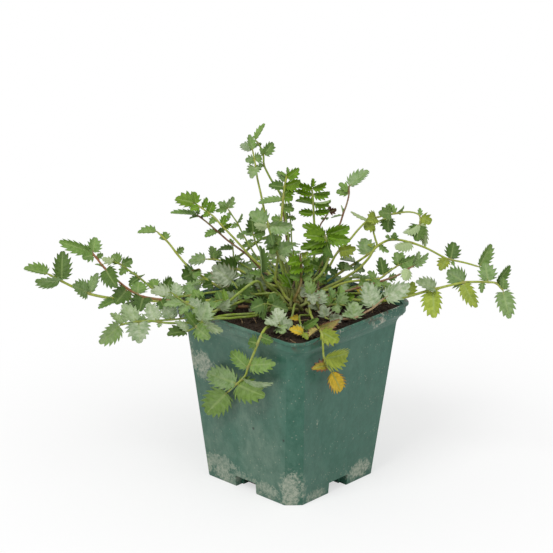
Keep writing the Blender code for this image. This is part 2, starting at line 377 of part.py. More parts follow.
# Turns and swings, in degrees, and sizes that a leaflet tries until it is clear of its neighbours.
TURNS = (0, 22, -22, 45, -45)
SWINGS = ((0, 0), (14, 0), (-14, 0), (28, 0), (-28, 0), (0, 16), (0, -16), (28, 20), (-28, -20))
SIZES = (1.0, 0.82, 0.66, 0.5)


def material(name):
    colour, roughness = COLOURS[name]
    made = bpy.data.materials.new(name)
    made.use_nodes = True
    shader = made.node_tree.nodes["Principled BSDF"]
    shader.inputs["Base Color"].default_value = (*colour, 1)
    shader.inputs["Roughness"].default_value = roughness
    shader.inputs["Metallic"].default_value = 0
    return made


def finish(bm, name, materials, colour, smooth=True):
    """The mesh as an object of its own, in metres."""
    bmesh.ops.recalc_face_normals(bm, faces=bm.faces)
    bmesh.ops.scale(bm, vec=(MM, MM, MM), verts=bm.verts)
    mesh = bpy.data.meshes.new(name)
    bm.to_mesh(mesh)
    bm.free()
    if smooth:
        mesh.shade_smooth()
        mesh.set_sharp_from_angle(angle=math.radians(35))
    obj = bpy.data.objects.new(name, mesh)
    bpy.context.scene.collection.objects.link(obj)
    if colour:
        obj.data.materials.append(materials[colour])
    return obj


# Pot and compost


def corner_ring(half, corner, round_share, z):
    """A square with cut corners, or with round ones where round_share is 1."""
    points = []
    for turn in range(4):
        quarter = Matrix.Rotation(turn * math.pi / 2, 3, "Z")
        for i in range(CORNER_POINTS):
            share = i / (CORNER_POINTS - 1)
            angle = share * math.pi / 2
            cut = Vector((half - corner * share, half - corner * (1 - share), z))
            arc = Vector((half - corner * (1 - math.cos(angle)), half - corner * (1 - math.sin(angle)), z))
            points.append(quarter @ cut.lerp(arc, round_share))
    return points


def loft(rings):
    """A closed body through rings of points, pushed up from the first ring."""
    bm = bmesh.new()
    first = bm.faces.new([bm.verts.new(point) for point in rings[0]])
    made = bmesh.ops.extrude_face_region(bm, geom=[first])["geom"]
    face = next(item for item in made if isinstance(item, bmesh.types.BMFace))
    for i, ring in enumerate(rings[1:]):
        if i > 0:
            face = bmesh.ops.extrude_discrete_faces(bm, faces=[face])["faces"][0]
        for vert, point in zip(face.verts, ring):
            vert.co = point
    return bm


def wall_ring(z, inset=0.0):
    share = z / WALL_TOP_Z
    half = BASE_HALF + (WALL_TOP_HALF - BASE_HALF) * share - inset
    corner = BASE_CORNER + (WALL_TOP_CORNER - BASE_CORNER) * share - inset * (2 - math.sqrt(2))
    return corner_ring(half, corner, 0.2, z)


def foot_boxes(width, height, inner, outer, z):
    """Four equal boxes, one in the middle of each side's foot."""
    bm = bmesh.new()
    for turn in range(4):
        place = Matrix.Rotation(turn * math.pi / 2, 4, "Z")
        place @= Matrix.Translation(((inner + outer) / 2, 0, z + height / 2))
        place @= Matrix.Diagonal((outer - inner, width, height, 1))
        bmesh.ops.create_cube(bm, size=1, matrix=place)
    return bm


def cutter(bm, name):
    obj = finish(bm, name, None, None, smooth=False)
    obj.hide_render = True
    obj.display_type = "WIRE"
    return obj


def cut(obj, tool):
    boolean = obj.modifiers.new(tool.name, "BOOLEAN")
    boolean.operation = "DIFFERENCE"
    boolean.solver = "EXACT"
    boolean.object = tool


def make_pot(materials):
    lip_z = POT_HEIGHT - LIP_HEIGHT
    shell = loft([
        wall_ring(0),
        wall_ring(FLARE_Z),
        corner_ring(WALL_TOP_HALF + 0.2, 7.0, 0.4, WALL_TOP_Z),
        corner_ring(BAND_HALF - 2.0, 7.6, 0.7, WALL_TOP_Z + 1.8),
        corner_ring(BAND_HALF, RIM_CORNER, 1, BAND_Z),
        corner_ring(BAND_HALF, RIM_CORNER, 1, lip_z - 0.3),
        corner_ring(LIP_HALF, RIM_CORNER, 1, lip_z),
        corner_ring(LIP_HALF, RIM_CORNER, 1, POT_HEIGHT),
    ])
    pot = finish(shell, "pot", materials, "pot", smooth=False)
    hollow = cutter(loft([
        wall_ring(WALL, WALL),
        wall_ring(FLARE_Z + 1, WALL),
        corner_ring(MOUTH_HALF, RIM_CORNER - 0.7, 1, BAND_Z + 2.4),
        corner_ring(MOUTH_HALF, RIM_CORNER - 0.7, 1, POT_HEIGHT + 5),
    ]), "pot_hollow")
    back = BASE_HALF - POCKET_DEPTH
    cut(hollow, cutter(foot_boxes(
        POCKET_WIDTH + 2 * WALL, POCKET_HEIGHT + WALL + 2, back - WALL, BASE_HALF + 5, -2), "pocket_walls"))
    cut(pot, hollow)
    cut(pot, cutter(foot_boxes(POCKET_WIDTH, POCKET_HEIGHT + 2, back, BASE_HALF + 5, -2), "pockets"))
    cut(pot, cutter(foot_boxes(HOLE_WIDTH, HOLE_HEIGHT + 2, back - HOLE_DEPTH, back + 1, -2), "drain_holes"))
    return pot


def soil_height(x, y):
    """The compost's surface: a little higher in the middle, with slow lumps."""
    reach = min(1.0, max(abs(x), abs(y)) / MOUTH_HALF)
    lumps = 0.35 * math.sin(x * 0.21 + 1.0) * math.cos(y * 0.17 + 0.4)
    return SOIL_EDGE_Z + SOIL_SWELL * (1 - reach ** 2) + lumps * (1 - reach)


def root_profile():
    """Radius and height of the rootstock, from its flat tip up to its domed top."""
    return [
        (0.8, ROOT_TIP_Z),
        (2.2, ROOT_TIP_Z + 14),
        (4.6, 82.0),
        (9.5, 91.5),
        (ROOT_RADIUS, 95.0),
        (ROOT_RADIUS - 0.6, 96.5),
        (ROOT_RADIUS - 3.4, 97.6),
        (5.5, 98.4),
        (2.5, ROOT_TOP_Z),
    ]


def turned(profile, swell=0.0):
    """A turned body on the rootstock's axis, larger by swell all round."""
    centre = place(ROOT_ACROSS, 0, 0)
    last = len(profile) - 1
    rings = []
    for i, (radius, z) in enumerate(profile):
        rise = -swell if i == 0 else swell if i == last else 0.0
        ring = []
        for step in range(16):
            angle = step * math.tau / 16
            arm = Vector((math.cos(angle), math.sin(angle), 0)) * (radius + swell)
            ring.append(Vector((centre.x, centre.y, z + rise)) + arm)
        rings.append(ring)
    return loft(rings)


def make_soil(materials):
    rings = [
        wall_ring(WALL + GAP, WALL + GAP),
        wall_ring(FLARE_Z + 0.7, WALL + 2 * GAP),
        corner_ring(MOUTH_HALF - 1.4, RIM_CORNER, 1, BAND_Z),
    ]
    for share in (1.0, 0.8, 0.55, 0.3):
        ring = corner_ring((MOUTH_HALF - 0.7) * share, RIM_CORNER * share, 1, 0)
        for point in ring:
            point.z = soil_height(point.x, point.y)
        rings.append(ring)
    soil = finish(loft(rings), "compost", materials, "soil", smooth=False)
    back = BASE_HALF - POCKET_DEPTH - WALL - GAP
    cut(soil, cutter(foot_boxes(
        POCKET_WIDTH + 2 * (WALL + GAP), POCKET_HEIGHT + WALL + GAP + 2, back, BASE_HALF + 5, -2),
        "soil_feet"))
    profile = root_profile()[:5] + [(ROOT_RADIUS, POT_HEIGHT + 5)]
    cut(soil, cutter(turned(profile, GAP), "root_hole"))
    return soil


# The sheet of the leaves


def place(across, up, into):
    """A point in the pot's own axes, from its place on the leaf sheet as sighted and its depth."""
    eye_across, eye_up, distance = SHEET_EYE
    share = 1 + into / distance
    across = eye_across + (across - eye_across) * share
    up = eye_up + (up - eye_up) * share
    return Vector((0, 0, CROWN_Z)) + lead(across, up, into)


def lead(across, up, into):
    """A direction on the leaf sheet, in the pot's own axes."""
    back = into * math.cos(SHEET_LEAN) + up * math.sin(SHEET_LEAN)
    rise = up * math.cos(SHEET_LEAN) - into * math.sin(SHEET_LEAN)
    right = Vector((math.cos(SHEET_TURN), math.sin(SHEET_TURN), 0))
    away = Vector((-math.sin(SHEET_TURN), math.cos(SHEET_TURN), 0))
    return right * across + away * back + Vector((0, 0, rise))


def root_surface(radius):
    """Height of the rootstock's domed top at this distance from its axis, and of the compost beyond it."""
    dome = root_profile()[5:]
    for (wide, low), (narrow, high) in zip(dome, dome[1:]):
        if narrow <= radius <= wide:
            return low + (high - low) * (wide - radius) / (wide - narrow)
    return ROOT_TOP_Z if radius < ROOT_RADIUS / 2 else SOIL_EDGE_Z + SOIL_SWELL


def crown_places(leaves):
    """Where each stalk starts. The stalks of a ring keep the order of their headings, so none cross."""
    centre = place(ROOT_ACROSS, 0, 0)
    starts = {}
    for ring, radius in RING_RADIUS.items():
        headed = []
        for name, _, stalk, route, _ in leaves:
            if LEAF_RINGS[name.split("_")[0]] == ring:
                way = place(*route[0]) - centre
                headed.append((math.atan2(way.y, way.x), name, stalk))
        headed.sort()
        step = math.tau / len(headed)
        shift = sum(angle - i * step for i, (angle, _, _) in enumerate(headed)) / len(headed)
        for i, (_, name, stalk) in enumerate(headed):
            angle = i * step + shift
            z = root_surface(radius) + stalk / 2 + GAP + 0.3
            out = Vector((radius * math.cos(angle), radius * math.sin(angle), 0))
            starts[name] = Vector((centre.x, centre.y, z)) + out
    return starts


def along(points, at):
    """The point of a smooth route through points, at a place counted in points."""
    i = max(0, min(int(at), len(points) - 2))
    t = at - i
    b, c = points[i], points[i + 1]
    a = points[i - 1] if i > 0 else b * 2 - c
    d = points[i + 2] if i + 2 < len(points) else c * 2 - b
    cubic = (b * 3 - c * 3 + d - a) * t ** 3
    return (b * 2 + (c - a) * t + (a * 2 - b * 5 + c * 4 - d) * t ** 2 + cubic) * 0.5


def ground(x, y, z, room):
    """The least height for something this far from its own middle, over the compost or the rim."""
    out = max(abs(x), abs(y))
    wall = LIP_HALF if z > WALL_TOP_Z else BASE_HALF + (WALL_TOP_HALF - BASE_HALF) * z / WALL_TOP_Z
    if out > wall + room:
        return 0.0
    axis = place(ROOT_ACROSS, 0, 0)
    over = root_surface(math.hypot(x - axis.x, y - axis.y)) if out < MOUTH_HALF - 2 else POT_HEIGHT
    return over + room


def spread(routes, stalks):
    """Moves the stalks a little at a time, from the crown out, until each has room."""
    for _ in range(SPREAD_ROUNDS):
        samples = []
        for name, points in routes.items():
            for i in range(len(points) - 1):
                steps = math.ceil((points[i + 1] - points[i]).length / SPREAD_STEP)
                places = [i + step / steps for step in range(1, steps + 1)]
                samples += [(name, at, along(points, at)) for at in places]
        near = KDTree(len(samples))
        for i, (_, _, point) in enumerate(samples):
            near.insert(point, i)
        near.balance()
        crowded = False
        for i, (name, at, point) in enumerate(samples):
            least = ground(point.x, point.y, point.z, stalks[name] * STALK_REACH + 2 * GAP)
            if point.z < least:
                shift(routes[name], at, Vector((0, 0, least - point.z)))
            for other_point, j, distance in near.find_range(point, 4):
                other = samples[j][0]
                short = (stalks[name] + stalks[other]) * STALK_REACH + GAP - distance
                if j > i and other != name and short > 0:
                    push = (point - other_point).normalized() * (short / 2)
                    shift(routes[name], at, push)
                    shift(routes[other], samples[j][1], -push)
                    crowded = True
        if not crowded:
            return


def shift(points, at, push):
    i = min(int(at), len(points) - 2)
    points[i + 1] += push * (at - i)
    if i > 0:
        points[i] += push * (1 - at + i)


def heading(points, at):
    step = 0.02
    last = len(points) - 1
    return along(points, min(last, at + step)) - along(points, max(0, at - step))


def pace(points, at):
    """Millimetres of route for one step from point to point."""
    return heading(points, at).length / 0.04


def paired_blades(points):
    """Leaflets in pairs on both sides of a leaf that lists none, and one at its end."""
    last = len(points) - 1
    blades = []
    for pair in range(PAIRS):
        share = pair / (PAIRS - 1)
        at = last * (PAIRED_FROM + (0.93 - PAIRED_FROM) * share)
        length = PAIRED_BLADE[0] + (PAIRED_BLADE[1] - PAIRED_BLADE[0]) * share
        forward = heading(points, at).normalized()
        side = forward.cross(Vector((0, 0, 1))).normalized()
        for hand in (-1, 1):
            way = (side * hand + forward * 0.45 + Vector((0, 0, 0.12 - 0.5 * share))).normalized()
            blades.append((at, way * length, length * PAIRED_WIDTH, 0, Vector((0, 0, 1))))
    end = heading(points, last).normalized()
    blades.append((last, end * PAIRED_BLADE[1], PAIRED_BLADE[1] * PAIRED_WIDTH, 0, Vector((0, 0, 1))))
    return blades


def sheet_blades(listed):
    facing = lead(0, 0, -1)
    return [(at + 1, lead(x, y, z), width, turn, facing) for at, x, y, z, width, turn in listed]


# Leaflets and stalks


def posed(blade, turn, swing, size):
    """A leaflet after a turn about its length, swings about its two other axes, and a change of size."""
    at, way, width, own_turn, facing = blade
    length = way.length
    forward = way.normalized()
    side = forward.cross(facing)
    side = side.normalized() if side.length > 0.05 else forward.cross(Vector((0, 0, 1))).normalized()
    normal = side.cross(forward)
    across_swing = Matrix.Rotation(math.radians(swing[1]), 3, normal)
    tip = Matrix.Rotation(math.radians(swing[0]), 3, side) @ across_swing
    forward = tip @ forward
    roll = Matrix.Rotation(math.radians(own_turn + turn), 3, forward)
    side = (roll @ (tip @ side)).normalized()
    return at, forward * length * size, width * size, side


def blade_sections(base, way, width, side, swell=0.0):
    """Corner points of the leaflet's cross-sections, from its stalk to its tip."""
    forward = way.normalized()
    normal = forward.cross(side)
    thick = (BLADE_THICK / 2 + swell) * normal
    shares = [(0.5, width), (1.0, width * 0.4)]
    if way.length >= SMALL_BLADE:
        shares.insert(0, (0.16, PETIOLULE))
    sections = []
    for share, wide in shares:
        centre = base + way * share
        arm = side * (wide / 2 + swell)
        upper = [centre + arm + thick, centre - arm + thick]
        sections.append(upper + [centre - arm - thick, centre + arm - thick])
    return sections


def tree_of(sections):
    """A search tree of the body through these sections."""
    points = [point for section in sections for point in section]
    faces = [(3, 2, 1, 0), tuple(range(len(points) - 4, len(points)))]
    for start in range(0, len(points) - 4, 4):
        for i in range(4):
            j = (i + 1) % 4
            faces.append((start + i, start + j, start + 4 + j, start + 4 + i))
    return BVHTree.FromPolygons(points, faces)


def above_ground(sections):
    return all(point.z > ground(point.x, point.y, point.z, GAP) for section in sections for point in section)


def settle(points, blades, stalk, obstacles, own):
    """The leaflets of one leaf, each in the first pose that is clear of everything placed so far."""
    placed = []
    for blade in blades:
        base = along(points, blade[0])
        tries = ((size, swing, turn) for size in SIZES for swing in SWINGS for turn in TURNS)
        for size, swing, turn in tries:
            at, way, width, side = posed(blade, turn, swing, size)
            root = base + way.normalized() * (stalk * 0.5 + 0.5)
            sections = blade_sections(root, way - (root - base), width, side, GAP)
            first = [root + (point - sections[0][i]) * 0.01 for i, point in enumerate(sections[0])]
            start = [root + side * GAP, root - side * GAP, root - side * GAP, root + side * GAP]
            lift = way.normalized().cross(side) * GAP
            for i, corner in enumerate(start):
                first[i] = corner + (lift if i < 2 else -lift)
            body = [first] + sections
            if not above_ground(sections):
                continue
            tree = tree_of(body)
            if any(tree.overlap(other) for other in obstacles + own):
                continue
            own.append(tree)
            placed.append((at, way, width, side))
            break
    return placed


def stations(points, blades):
    """Places along the route that need a ring, and the short stretches that leaflets grow from."""
    last = len(points) - 1
    groups = []
    for blade in sorted(blades, key=lambda item: item[0]):
        at = blade[0]
        near = groups and (at - groups[-1]["at"]) * pace(points, at) < NODE_MERGE
        if near and len(groups[-1]["blades"]) < NODE_BLADES:
            groups[-1]["blades"].append(blade)
        else:
            groups.append({"at": at, "blades": [blade]})
    ahead = last
    for group in reversed(groups):
        length = NODE_LENGTH / pace(points, group["at"])
        group["to"] = min(ahead, max(1.5 * length, group["at"] + length / 2))
        group["from"] = group["to"] - length
        ahead = group["from"] - length / 4
    places = [0.0]
    for i in range(1, last):
        far = all(abs(i - (group["from"] + group["to"]) / 2) * pace(points, i) > 4 for group in groups)
        if far:
            places.append(float(i))
    for group in groups:
        places += [group["from"], group["to"]]
    if not groups or groups[-1]["to"] < last - 1e-6:
        places.append(float(last))
    return sorted(places), groups


def stalk_rings(points, places, stalk):
    """Square rings of corner points that follow the route without twisting."""
    rings = []
    side = heading(points, 0).cross(Vector((0, 0, 1)))
    if side.length < 1e-3:
        side = Vector((1, 0, 0))
    last = len(points) - 1
    for at in places:
        forward = heading(points, at).normalized()
        side = (side - forward * side.dot(forward)).normalized()
        up = side.cross(forward)
        half = max(STALK_LEAST, stalk * (1 - (1 - STALK_TAPER) * at / last)) / 2
        centre = along(points, at)
        rings.append([centre + (side * a + up * b) * half for a, b in ((1, 1), (-1, 1), (-1, -1), (1, -1))])
    return rings


def grow_blade(bm, face, sections):
    """Pushes a face of the stalk out through the sections of a leaflet."""
    for target in sections:
        face = bmesh.ops.extrude_discrete_faces(bm, faces=[face])["faces"][0]
        corners = [vert.co.copy() for vert in face.verts]
        middle = sum(corners, Vector()) / 4
        aim = sum(target, Vector()) / 4

        def misfit(shift):
            return sum(
                ((corners[i] - middle).normalized() - (target[(i + shift) % 4] - aim).normalized()).length
                for i in range(4)
            )

        shift = min(range(4), key=misfit)
        for i, vert in enumerate(face.verts):
            vert.co = target[(i + shift) % 4]


def best_faces(faces, ways):
    """A different face for each leaflet, each facing its leaflet's way as well as they all can."""
    choices = itertools.permutations(faces, len(ways))
    return max(choices, key=lambda chosen: sum(face.normal.dot(way) for face, way in zip(chosen, ways)))


def leaf_body(points, placed, stalk):
    places, groups = stations(points, placed)
    bm = loft(stalk_rings(points, places, stalk))
    bmesh.ops.recalc_face_normals(bm, faces=bm.faces)
    bm.verts.index_update()
    last = places.index(max(places))
    tip_face = next(face for face in bm.faces if all(vert.index >= 4 * last for vert in face.verts))
    pushes = []
    for group in groups:
        start = places.index(group["from"])
        rings = {start, start + 1}
        faces = [face for face in bm.faces if {vert.index // 4 for vert in face.verts} == rings]
        if start + 1 == last:
            faces.append(tip_face)
        ways = [way.normalized() for _, way, _, _ in group["blades"]]
        pushes += zip(best_faces(faces, ways), group["blades"])
    for face, (at, way, width, side) in pushes:
        start = face.calc_center_median()
        grow_blade(bm, face, blade_sections(start, along(points, at) + way - start, width, side))
    return bm


def make_leaves(materials, obstacles):
    starts = crown_places(LEAVES)
    routes = {}
    for name, _, _, route, _ in LEAVES:
        start, first = starts[name], place(*route[0])
        rise = Vector((0, 0, (first - start).length * 0.1))
        routes[name] = [start, start.lerp(first, 0.5) + rise] + [place(*point) for point in route]
    spread(routes, {name: stalk for name, _, stalk, _, _ in LEAVES})
    stalk_trees = {}
    for name, _, stalk, _, _ in LEAVES:
        points = routes[name]
        steps = [i / 3 for i in range(3 * (len(points) - 1) + 1)]
        stalk_trees[name] = tree_of(stalk_rings(points, steps, stalk + 2 * GAP))
    leaflets = []
    for name, colour, stalk, _, listed in LEAVES:
        points = routes[name]
        blades = sheet_blades(listed) if listed else paired_blades(points)
        others = obstacles + leaflets + [tree for key, tree in stalk_trees.items() if key != name]
        steps = [i / 3 for i in range(3 * (len(points) - 1) + 1)]
        own = [tree_of(stalk_rings(points, steps, stalk * 0.8))]
        placed = settle(points, blades, stalk, others, own)
        leaflets += own[1:]
        print(f"{name}: {len(placed)} of {len(blades)} leaflets")
        finish(leaf_body(points, placed, stalk), name, materials, colour)


def surface_tree(obj):
    """A search tree of an object's finished surface, in millimetres."""
    graph = bpy.context.evaluated_depsgraph_get()
    mesh = obj.evaluated_get(graph).to_mesh()
    points = [vert.co / MM for vert in mesh.vertices]
    return BVHTree.FromPolygons(points, [tuple(face.vertices) for face in mesh.polygons])


def main():
    for obj in list(bpy.data.objects):
        bpy.data.objects.remove(obj)
    materials = {name: material(name) for name in COLOURS}
    pot = make_pot(materials)
    soil = make_soil(materials)
    root = finish(turned(root_profile()), "rootstock", materials, "root")
    bpy.context.view_layer.update()
    make_leaves(materials, [surface_tree(pot), surface_tree(soil), surface_tree(root)])


main()
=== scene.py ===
# Potted salad burnet: a rosette of toothed, powdery leaves in a square plastic nursery pot.
# Shapes are worked out in millimetres and become metres when a piece is finished.
# The leaves lie on a sheet through the crown: across, up it, and into it, away from the near corner.

import itertools
import json
import math
import random

import bmesh
import bpy
from mathutils import Euler, Matrix, Vector, noise
from mathutils.bvhtree import BVHTree
from mathutils.kdtree import KDTree


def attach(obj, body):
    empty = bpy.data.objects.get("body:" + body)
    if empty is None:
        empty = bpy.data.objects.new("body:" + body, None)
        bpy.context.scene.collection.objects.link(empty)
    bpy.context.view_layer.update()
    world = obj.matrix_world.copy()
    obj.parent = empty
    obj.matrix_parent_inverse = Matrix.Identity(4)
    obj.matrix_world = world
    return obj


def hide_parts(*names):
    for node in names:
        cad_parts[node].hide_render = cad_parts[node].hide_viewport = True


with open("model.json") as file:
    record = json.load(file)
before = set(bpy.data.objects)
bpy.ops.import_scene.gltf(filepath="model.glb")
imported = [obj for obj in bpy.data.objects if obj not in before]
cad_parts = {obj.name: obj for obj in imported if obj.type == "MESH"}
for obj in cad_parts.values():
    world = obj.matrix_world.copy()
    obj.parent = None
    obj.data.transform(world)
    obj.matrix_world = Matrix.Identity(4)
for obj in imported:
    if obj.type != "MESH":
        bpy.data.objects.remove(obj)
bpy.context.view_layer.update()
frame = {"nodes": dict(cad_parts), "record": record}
print("frame loaded:", len(frame["nodes"]), "parts")


# Making meshes

def finishPiece(bm, name, materials, node, sharpAngle=40):
    bmesh.ops.recalc_face_normals(bm, faces=bm.faces)
    bmesh.ops.scale(bm, vec=(0.001, 0.001, 0.001), verts=bm.verts)
    mesh = bpy.data.meshes.new(name)
    bm.to_mesh(mesh)
    bm.free()
    mesh.shade_smooth()
    mesh.set_sharp_from_angle(angle=math.radians(sharpAngle))
    for material in materials:
        mesh.materials.append(material)
    piece = bpy.data.objects.new(name, mesh)
    bpy.context.scene.collection.objects.link(piece)
    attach(piece, "root")
    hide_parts(node)


def plainObject(bm, name):
    bmesh.ops.recalc_face_normals(bm, faces=bm.faces)
    mesh = bpy.data.meshes.new(name)
    bm.to_mesh(mesh)
    bm.free()
    obj = bpy.data.objects.new(name, mesh)
    bpy.context.scene.collection.objects.link(obj)
    return obj


def carve(obj, tools):
    # cuts the tools out of obj and returns what is left as a bmesh
    for tool in tools:
        cut = obj.modifiers.new(tool.name, "BOOLEAN")
        cut.operation = "DIFFERENCE"
        cut.solver = "EXACT"
        cut.object = tool
    bpy.context.view_layer.update()
    bm = bmesh.new()
    bm.from_object(obj, bpy.context.evaluated_depsgraph_get())
    for used in [obj] + tools:
        bpy.data.objects.remove(used)
    return bm


def pushUp(bm, face, isFirst):
    # a lone face becomes a closed box the first time, and later the box grows at its end
    if isFirst:
        made = bmesh.ops.extrude_face_region(bm, geom=[face])["geom"]
        return next(item for item in made if isinstance(item, bmesh.types.BMFace))
    return bmesh.ops.extrude_discrete_faces(bm, faces=[face])["faces"][0]


def growRings(rings):
    # a closed body through rings of points
    bm = bmesh.new()
    face = bm.faces.new([bm.verts.new(point) for point in rings[0]])
    for i, ring in enumerate(rings[1:]):
        face = pushUp(bm, face, i == 0)
        for vert, point in zip(face.verts, ring):
            vert.co = point
    return bm


def growTube(bm, centres, radii, sides, paint):
    # a closed round tube; paint(vert, i) colours the vertices of ring i
    made = bmesh.ops.create_circle(bm, cap_ends=True, segments=sides, radius=1)
    face = made["verts"][0].link_faces[0]
    across = (centres[1] - centres[0]).cross(Vector((0.13, 0.21, 1)))
    last = len(centres) - 1
    for i, centre in enumerate(centres):
        if i > 0:
            face = pushUp(bm, face, i == 1)
        forward = (centres[min(i + 1, last)] - centres[max(i - 1, 0)]).normalized()
        across = (across - forward * across.dot(forward)).normalized()
        above = forward.cross(across)
        for step, vert in enumerate(face.verts):
            angle = step * math.tau / sides
            vert.co = centre + (across * math.cos(angle) + above * math.sin(angle)) * radii[i]
            paint(vert, i)


def evenPaint(layer, colour):
    def paint(vert, _):
        vert[layer] = colour

    return paint


# Making materials

def addNode(tree, kind, feeds=None, **settings):
    node = tree.nodes.new(kind)
    for key, value in settings.items():
        setattr(node, key, value)
    for key, value in (feeds or {}).items():
        if isinstance(value, bpy.types.NodeSocket):
            tree.links.new(value, node.inputs[key])
        else:
            node.inputs[key].default_value = value
    return node


def mixColours(tree, amount, paleLitUnderside, over, blend="MIX"):
    feeds = {0: amount, 6: paleLitUnderside, 7: over}
    return addNode(tree, "ShaderNodeMix", feeds, data_type="RGBA", blend_type=blend).outputs[2]


def work(tree, operation, first, second=0.0, third=0.0):
    feeds = {0: first, 1: second, 2: third}
    return addNode(tree, "ShaderNodeMath", feeds, operation=operation).outputs[0]


def ramp(tree, value, low, high, bottom=0.0, top=1.0):
    feeds = {"Value": value, "From Min": low, "From Max": high, "To Min": bottom, "To Max": top}
    return addNode(tree, "ShaderNodeMapRange", feeds, interpolation_type="SMOOTHSTEP").outputs[0]


def speckle(tree, place, scale, detail=3.0, rough=0.55):
    feeds = {"Vector": place, "Scale": scale, "Detail": detail, "Roughness": rough}
    return addNode(tree, "ShaderNodeTexNoise", feeds).outputs["Fac"]


def objectPlace(tree, stretch=(1, 1, 1), shift=(0, 0, 0)):
    place = addNode(tree, "ShaderNodeTexCoord").outputs["Object"]
    feeds = {"Vector": place, "Scale": stretch, "Location": shift}
    return addNode(tree, "ShaderNodeMapping", feeds).outputs[0]


def splitParts(tree, vector):
    return addNode(tree, "ShaderNodeSeparateXYZ", {0: vector}).outputs


def readAttribute(tree, name, output):
    return addNode(tree, "ShaderNodeAttribute", attribute_name=name).outputs[output]


def addGrain(tree, shader, height, strength, depth):
    feeds = {"Height": height, "Strength": strength, "Distance": depth}
    bump = addNode(tree, "ShaderNodeBump", feeds)
    tree.links.new(bump.outputs[0], shader.inputs["Normal"])


def dotted(tree, place, scale, inner, outer, fewest, most):
    # round dots, only in the cells whose own random number is past the two last values
    cells = addNode(tree, "ShaderNodeTexVoronoi", {"Vector": place, "Scale": scale, "Randomness": 1.0})
    dot = ramp(tree, cells.outputs["Distance"], inner, outer, 1.0, 0.0)
    return work(tree, "MULTIPLY", dot, ramp(tree, splitParts(tree, cells.outputs["Color"])[0], fewest, most))


def shaded(colour, shade):
    return [channel * shade for channel in colour[:3]] + [1]


def newGroup(name, inputs, outputs):
    group = bpy.data.node_groups.new(name, "ShaderNodeTree")
    for label, value in inputs:
        group.interface.new_socket(label, in_out="INPUT", socket_type="NodeSocketFloat").default_value = value
    for label, kind in outputs:
        group.interface.new_socket(label, in_out="OUTPUT", socket_type=kind)
    return group, group.nodes.new("NodeGroupInput").outputs, group.nodes.new("NodeGroupOutput").inputs


def newMaterial(name, roughness, specular):
    material = bpy.data.materials.new(name)
    material.use_nodes = True
    tree = material.node_tree
    shader = tree.nodes["Principled BSDF"]
    shader.inputs["Roughness"].default_value = roughness
    shader.inputs["Specular IOR Level"].default_value = specular
    return material, tree, shader


# Pot

pot = {
    "height": 99.0, "baseHalf": 34.8, "baseCorner": 7.1, "wallTopHalf": 43.0, "wallTopCorner": 6.6,
    "wallTop": 89.6, "flare": 87.8, "bandHalf": 45.9, "bandFoot": 93.8, "lipHalf": 46.9,
    "lipHeight": 1.5, "rimCorner": 8.5, "mouthHalf": 44.6, "wall": 1.2, "cornerPoints": 13,
    "pocketWidth": 15.0, "pocketHeight": 6.5, "pocketDepth": 4.9,
    "holeWidth": 12.6, "holeHeight": 5.4, "holeDepth": 5.0,
    "plastic": (0.022, 0.098, 0.064, 1), "faded": (0.044, 0.140, 0.098, 1), "limed": (0.360, 0.390, 0.310, 1),
    "stain": (0.070, 0.048, 0.026, 1), "chalk": (0.47, 0.45, 0.36, 1), "speck": (0.018, 0.022, 0.018, 1),
    "limePatches": [  # middle, reach and strength of each
        ((-38, -41, 72), (10, 9, 12), 1.0), ((-30, -40, 69), (20, 9, 11), 1.0),
        ((-23, -40, 62), (15, 9, 7), 0.70), ((-30, -37, 8), (12, 10, 11), 0.85),
        ((-19, -36, 11), (24, 9, 9), 0.65), ((-16, -36, 5), (16, 10, 9), 0.85),
        ((0, -36, 4), (48, 10, 11), 0.55), ((16, -36, 5), (20, 9, 8), 0.75),
        ((31, -33, 9), (11, 12, 22), 0.95), ((35, -18, 3), (9, 13, 6), 0.75),
        ((36, 17, 6), (9, 17, 9), 0.95), ((38, -22, 47), (3, 1.3, 4), 0.80),
    ],
}


def cornerRing(half, corner, roundShare, z):
    # a square with cut corners, or with round ones where roundShare is 1
    points = []
    for turn in range(4):
        quarter = Matrix.Rotation(turn * math.pi / 2, 3, "Z")
        for i in range(pot["cornerPoints"]):
            share = i / (pot["cornerPoints"] - 1)
            angle = share * math.pi / 2
            cut = Vector((half - corner * share, half - corner * (1 - share), z))
            arc = Vector((half - corner * (1 - math.cos(angle)), half - corner * (1 - math.sin(angle)), z))
            points.append(quarter @ cut.lerp(arc, roundShare))
    return points


def wallRing(z, inset=0.0):
    # inset moves the cut corners in as far as the sides
    share = z / pot["wallTop"]
    half = pot["baseHalf"] + (pot["wallTopHalf"] - pot["baseHalf"]) * share - inset
    corner = pot["baseCorner"] + (pot["wallTopCorner"] - pot["baseCorner"]) * share
    return cornerRing(half, corner - inset * (2 - math.sqrt(2)), 0.12, z)


def footBoxes(width, height, inner, outer, z):
    bm = bmesh.new()
    for turn in range(4):
        place = Matrix.Rotation(turn * math.pi / 2, 4, "Z")
        place @= Matrix.Translation(((inner + outer) / 2, 0, z + height / 2))
        place @= Matrix.Diagonal((outer - inner, width, height, 1))
        bmesh.ops.create_cube(bm, size=1, matrix=place)
    return bm


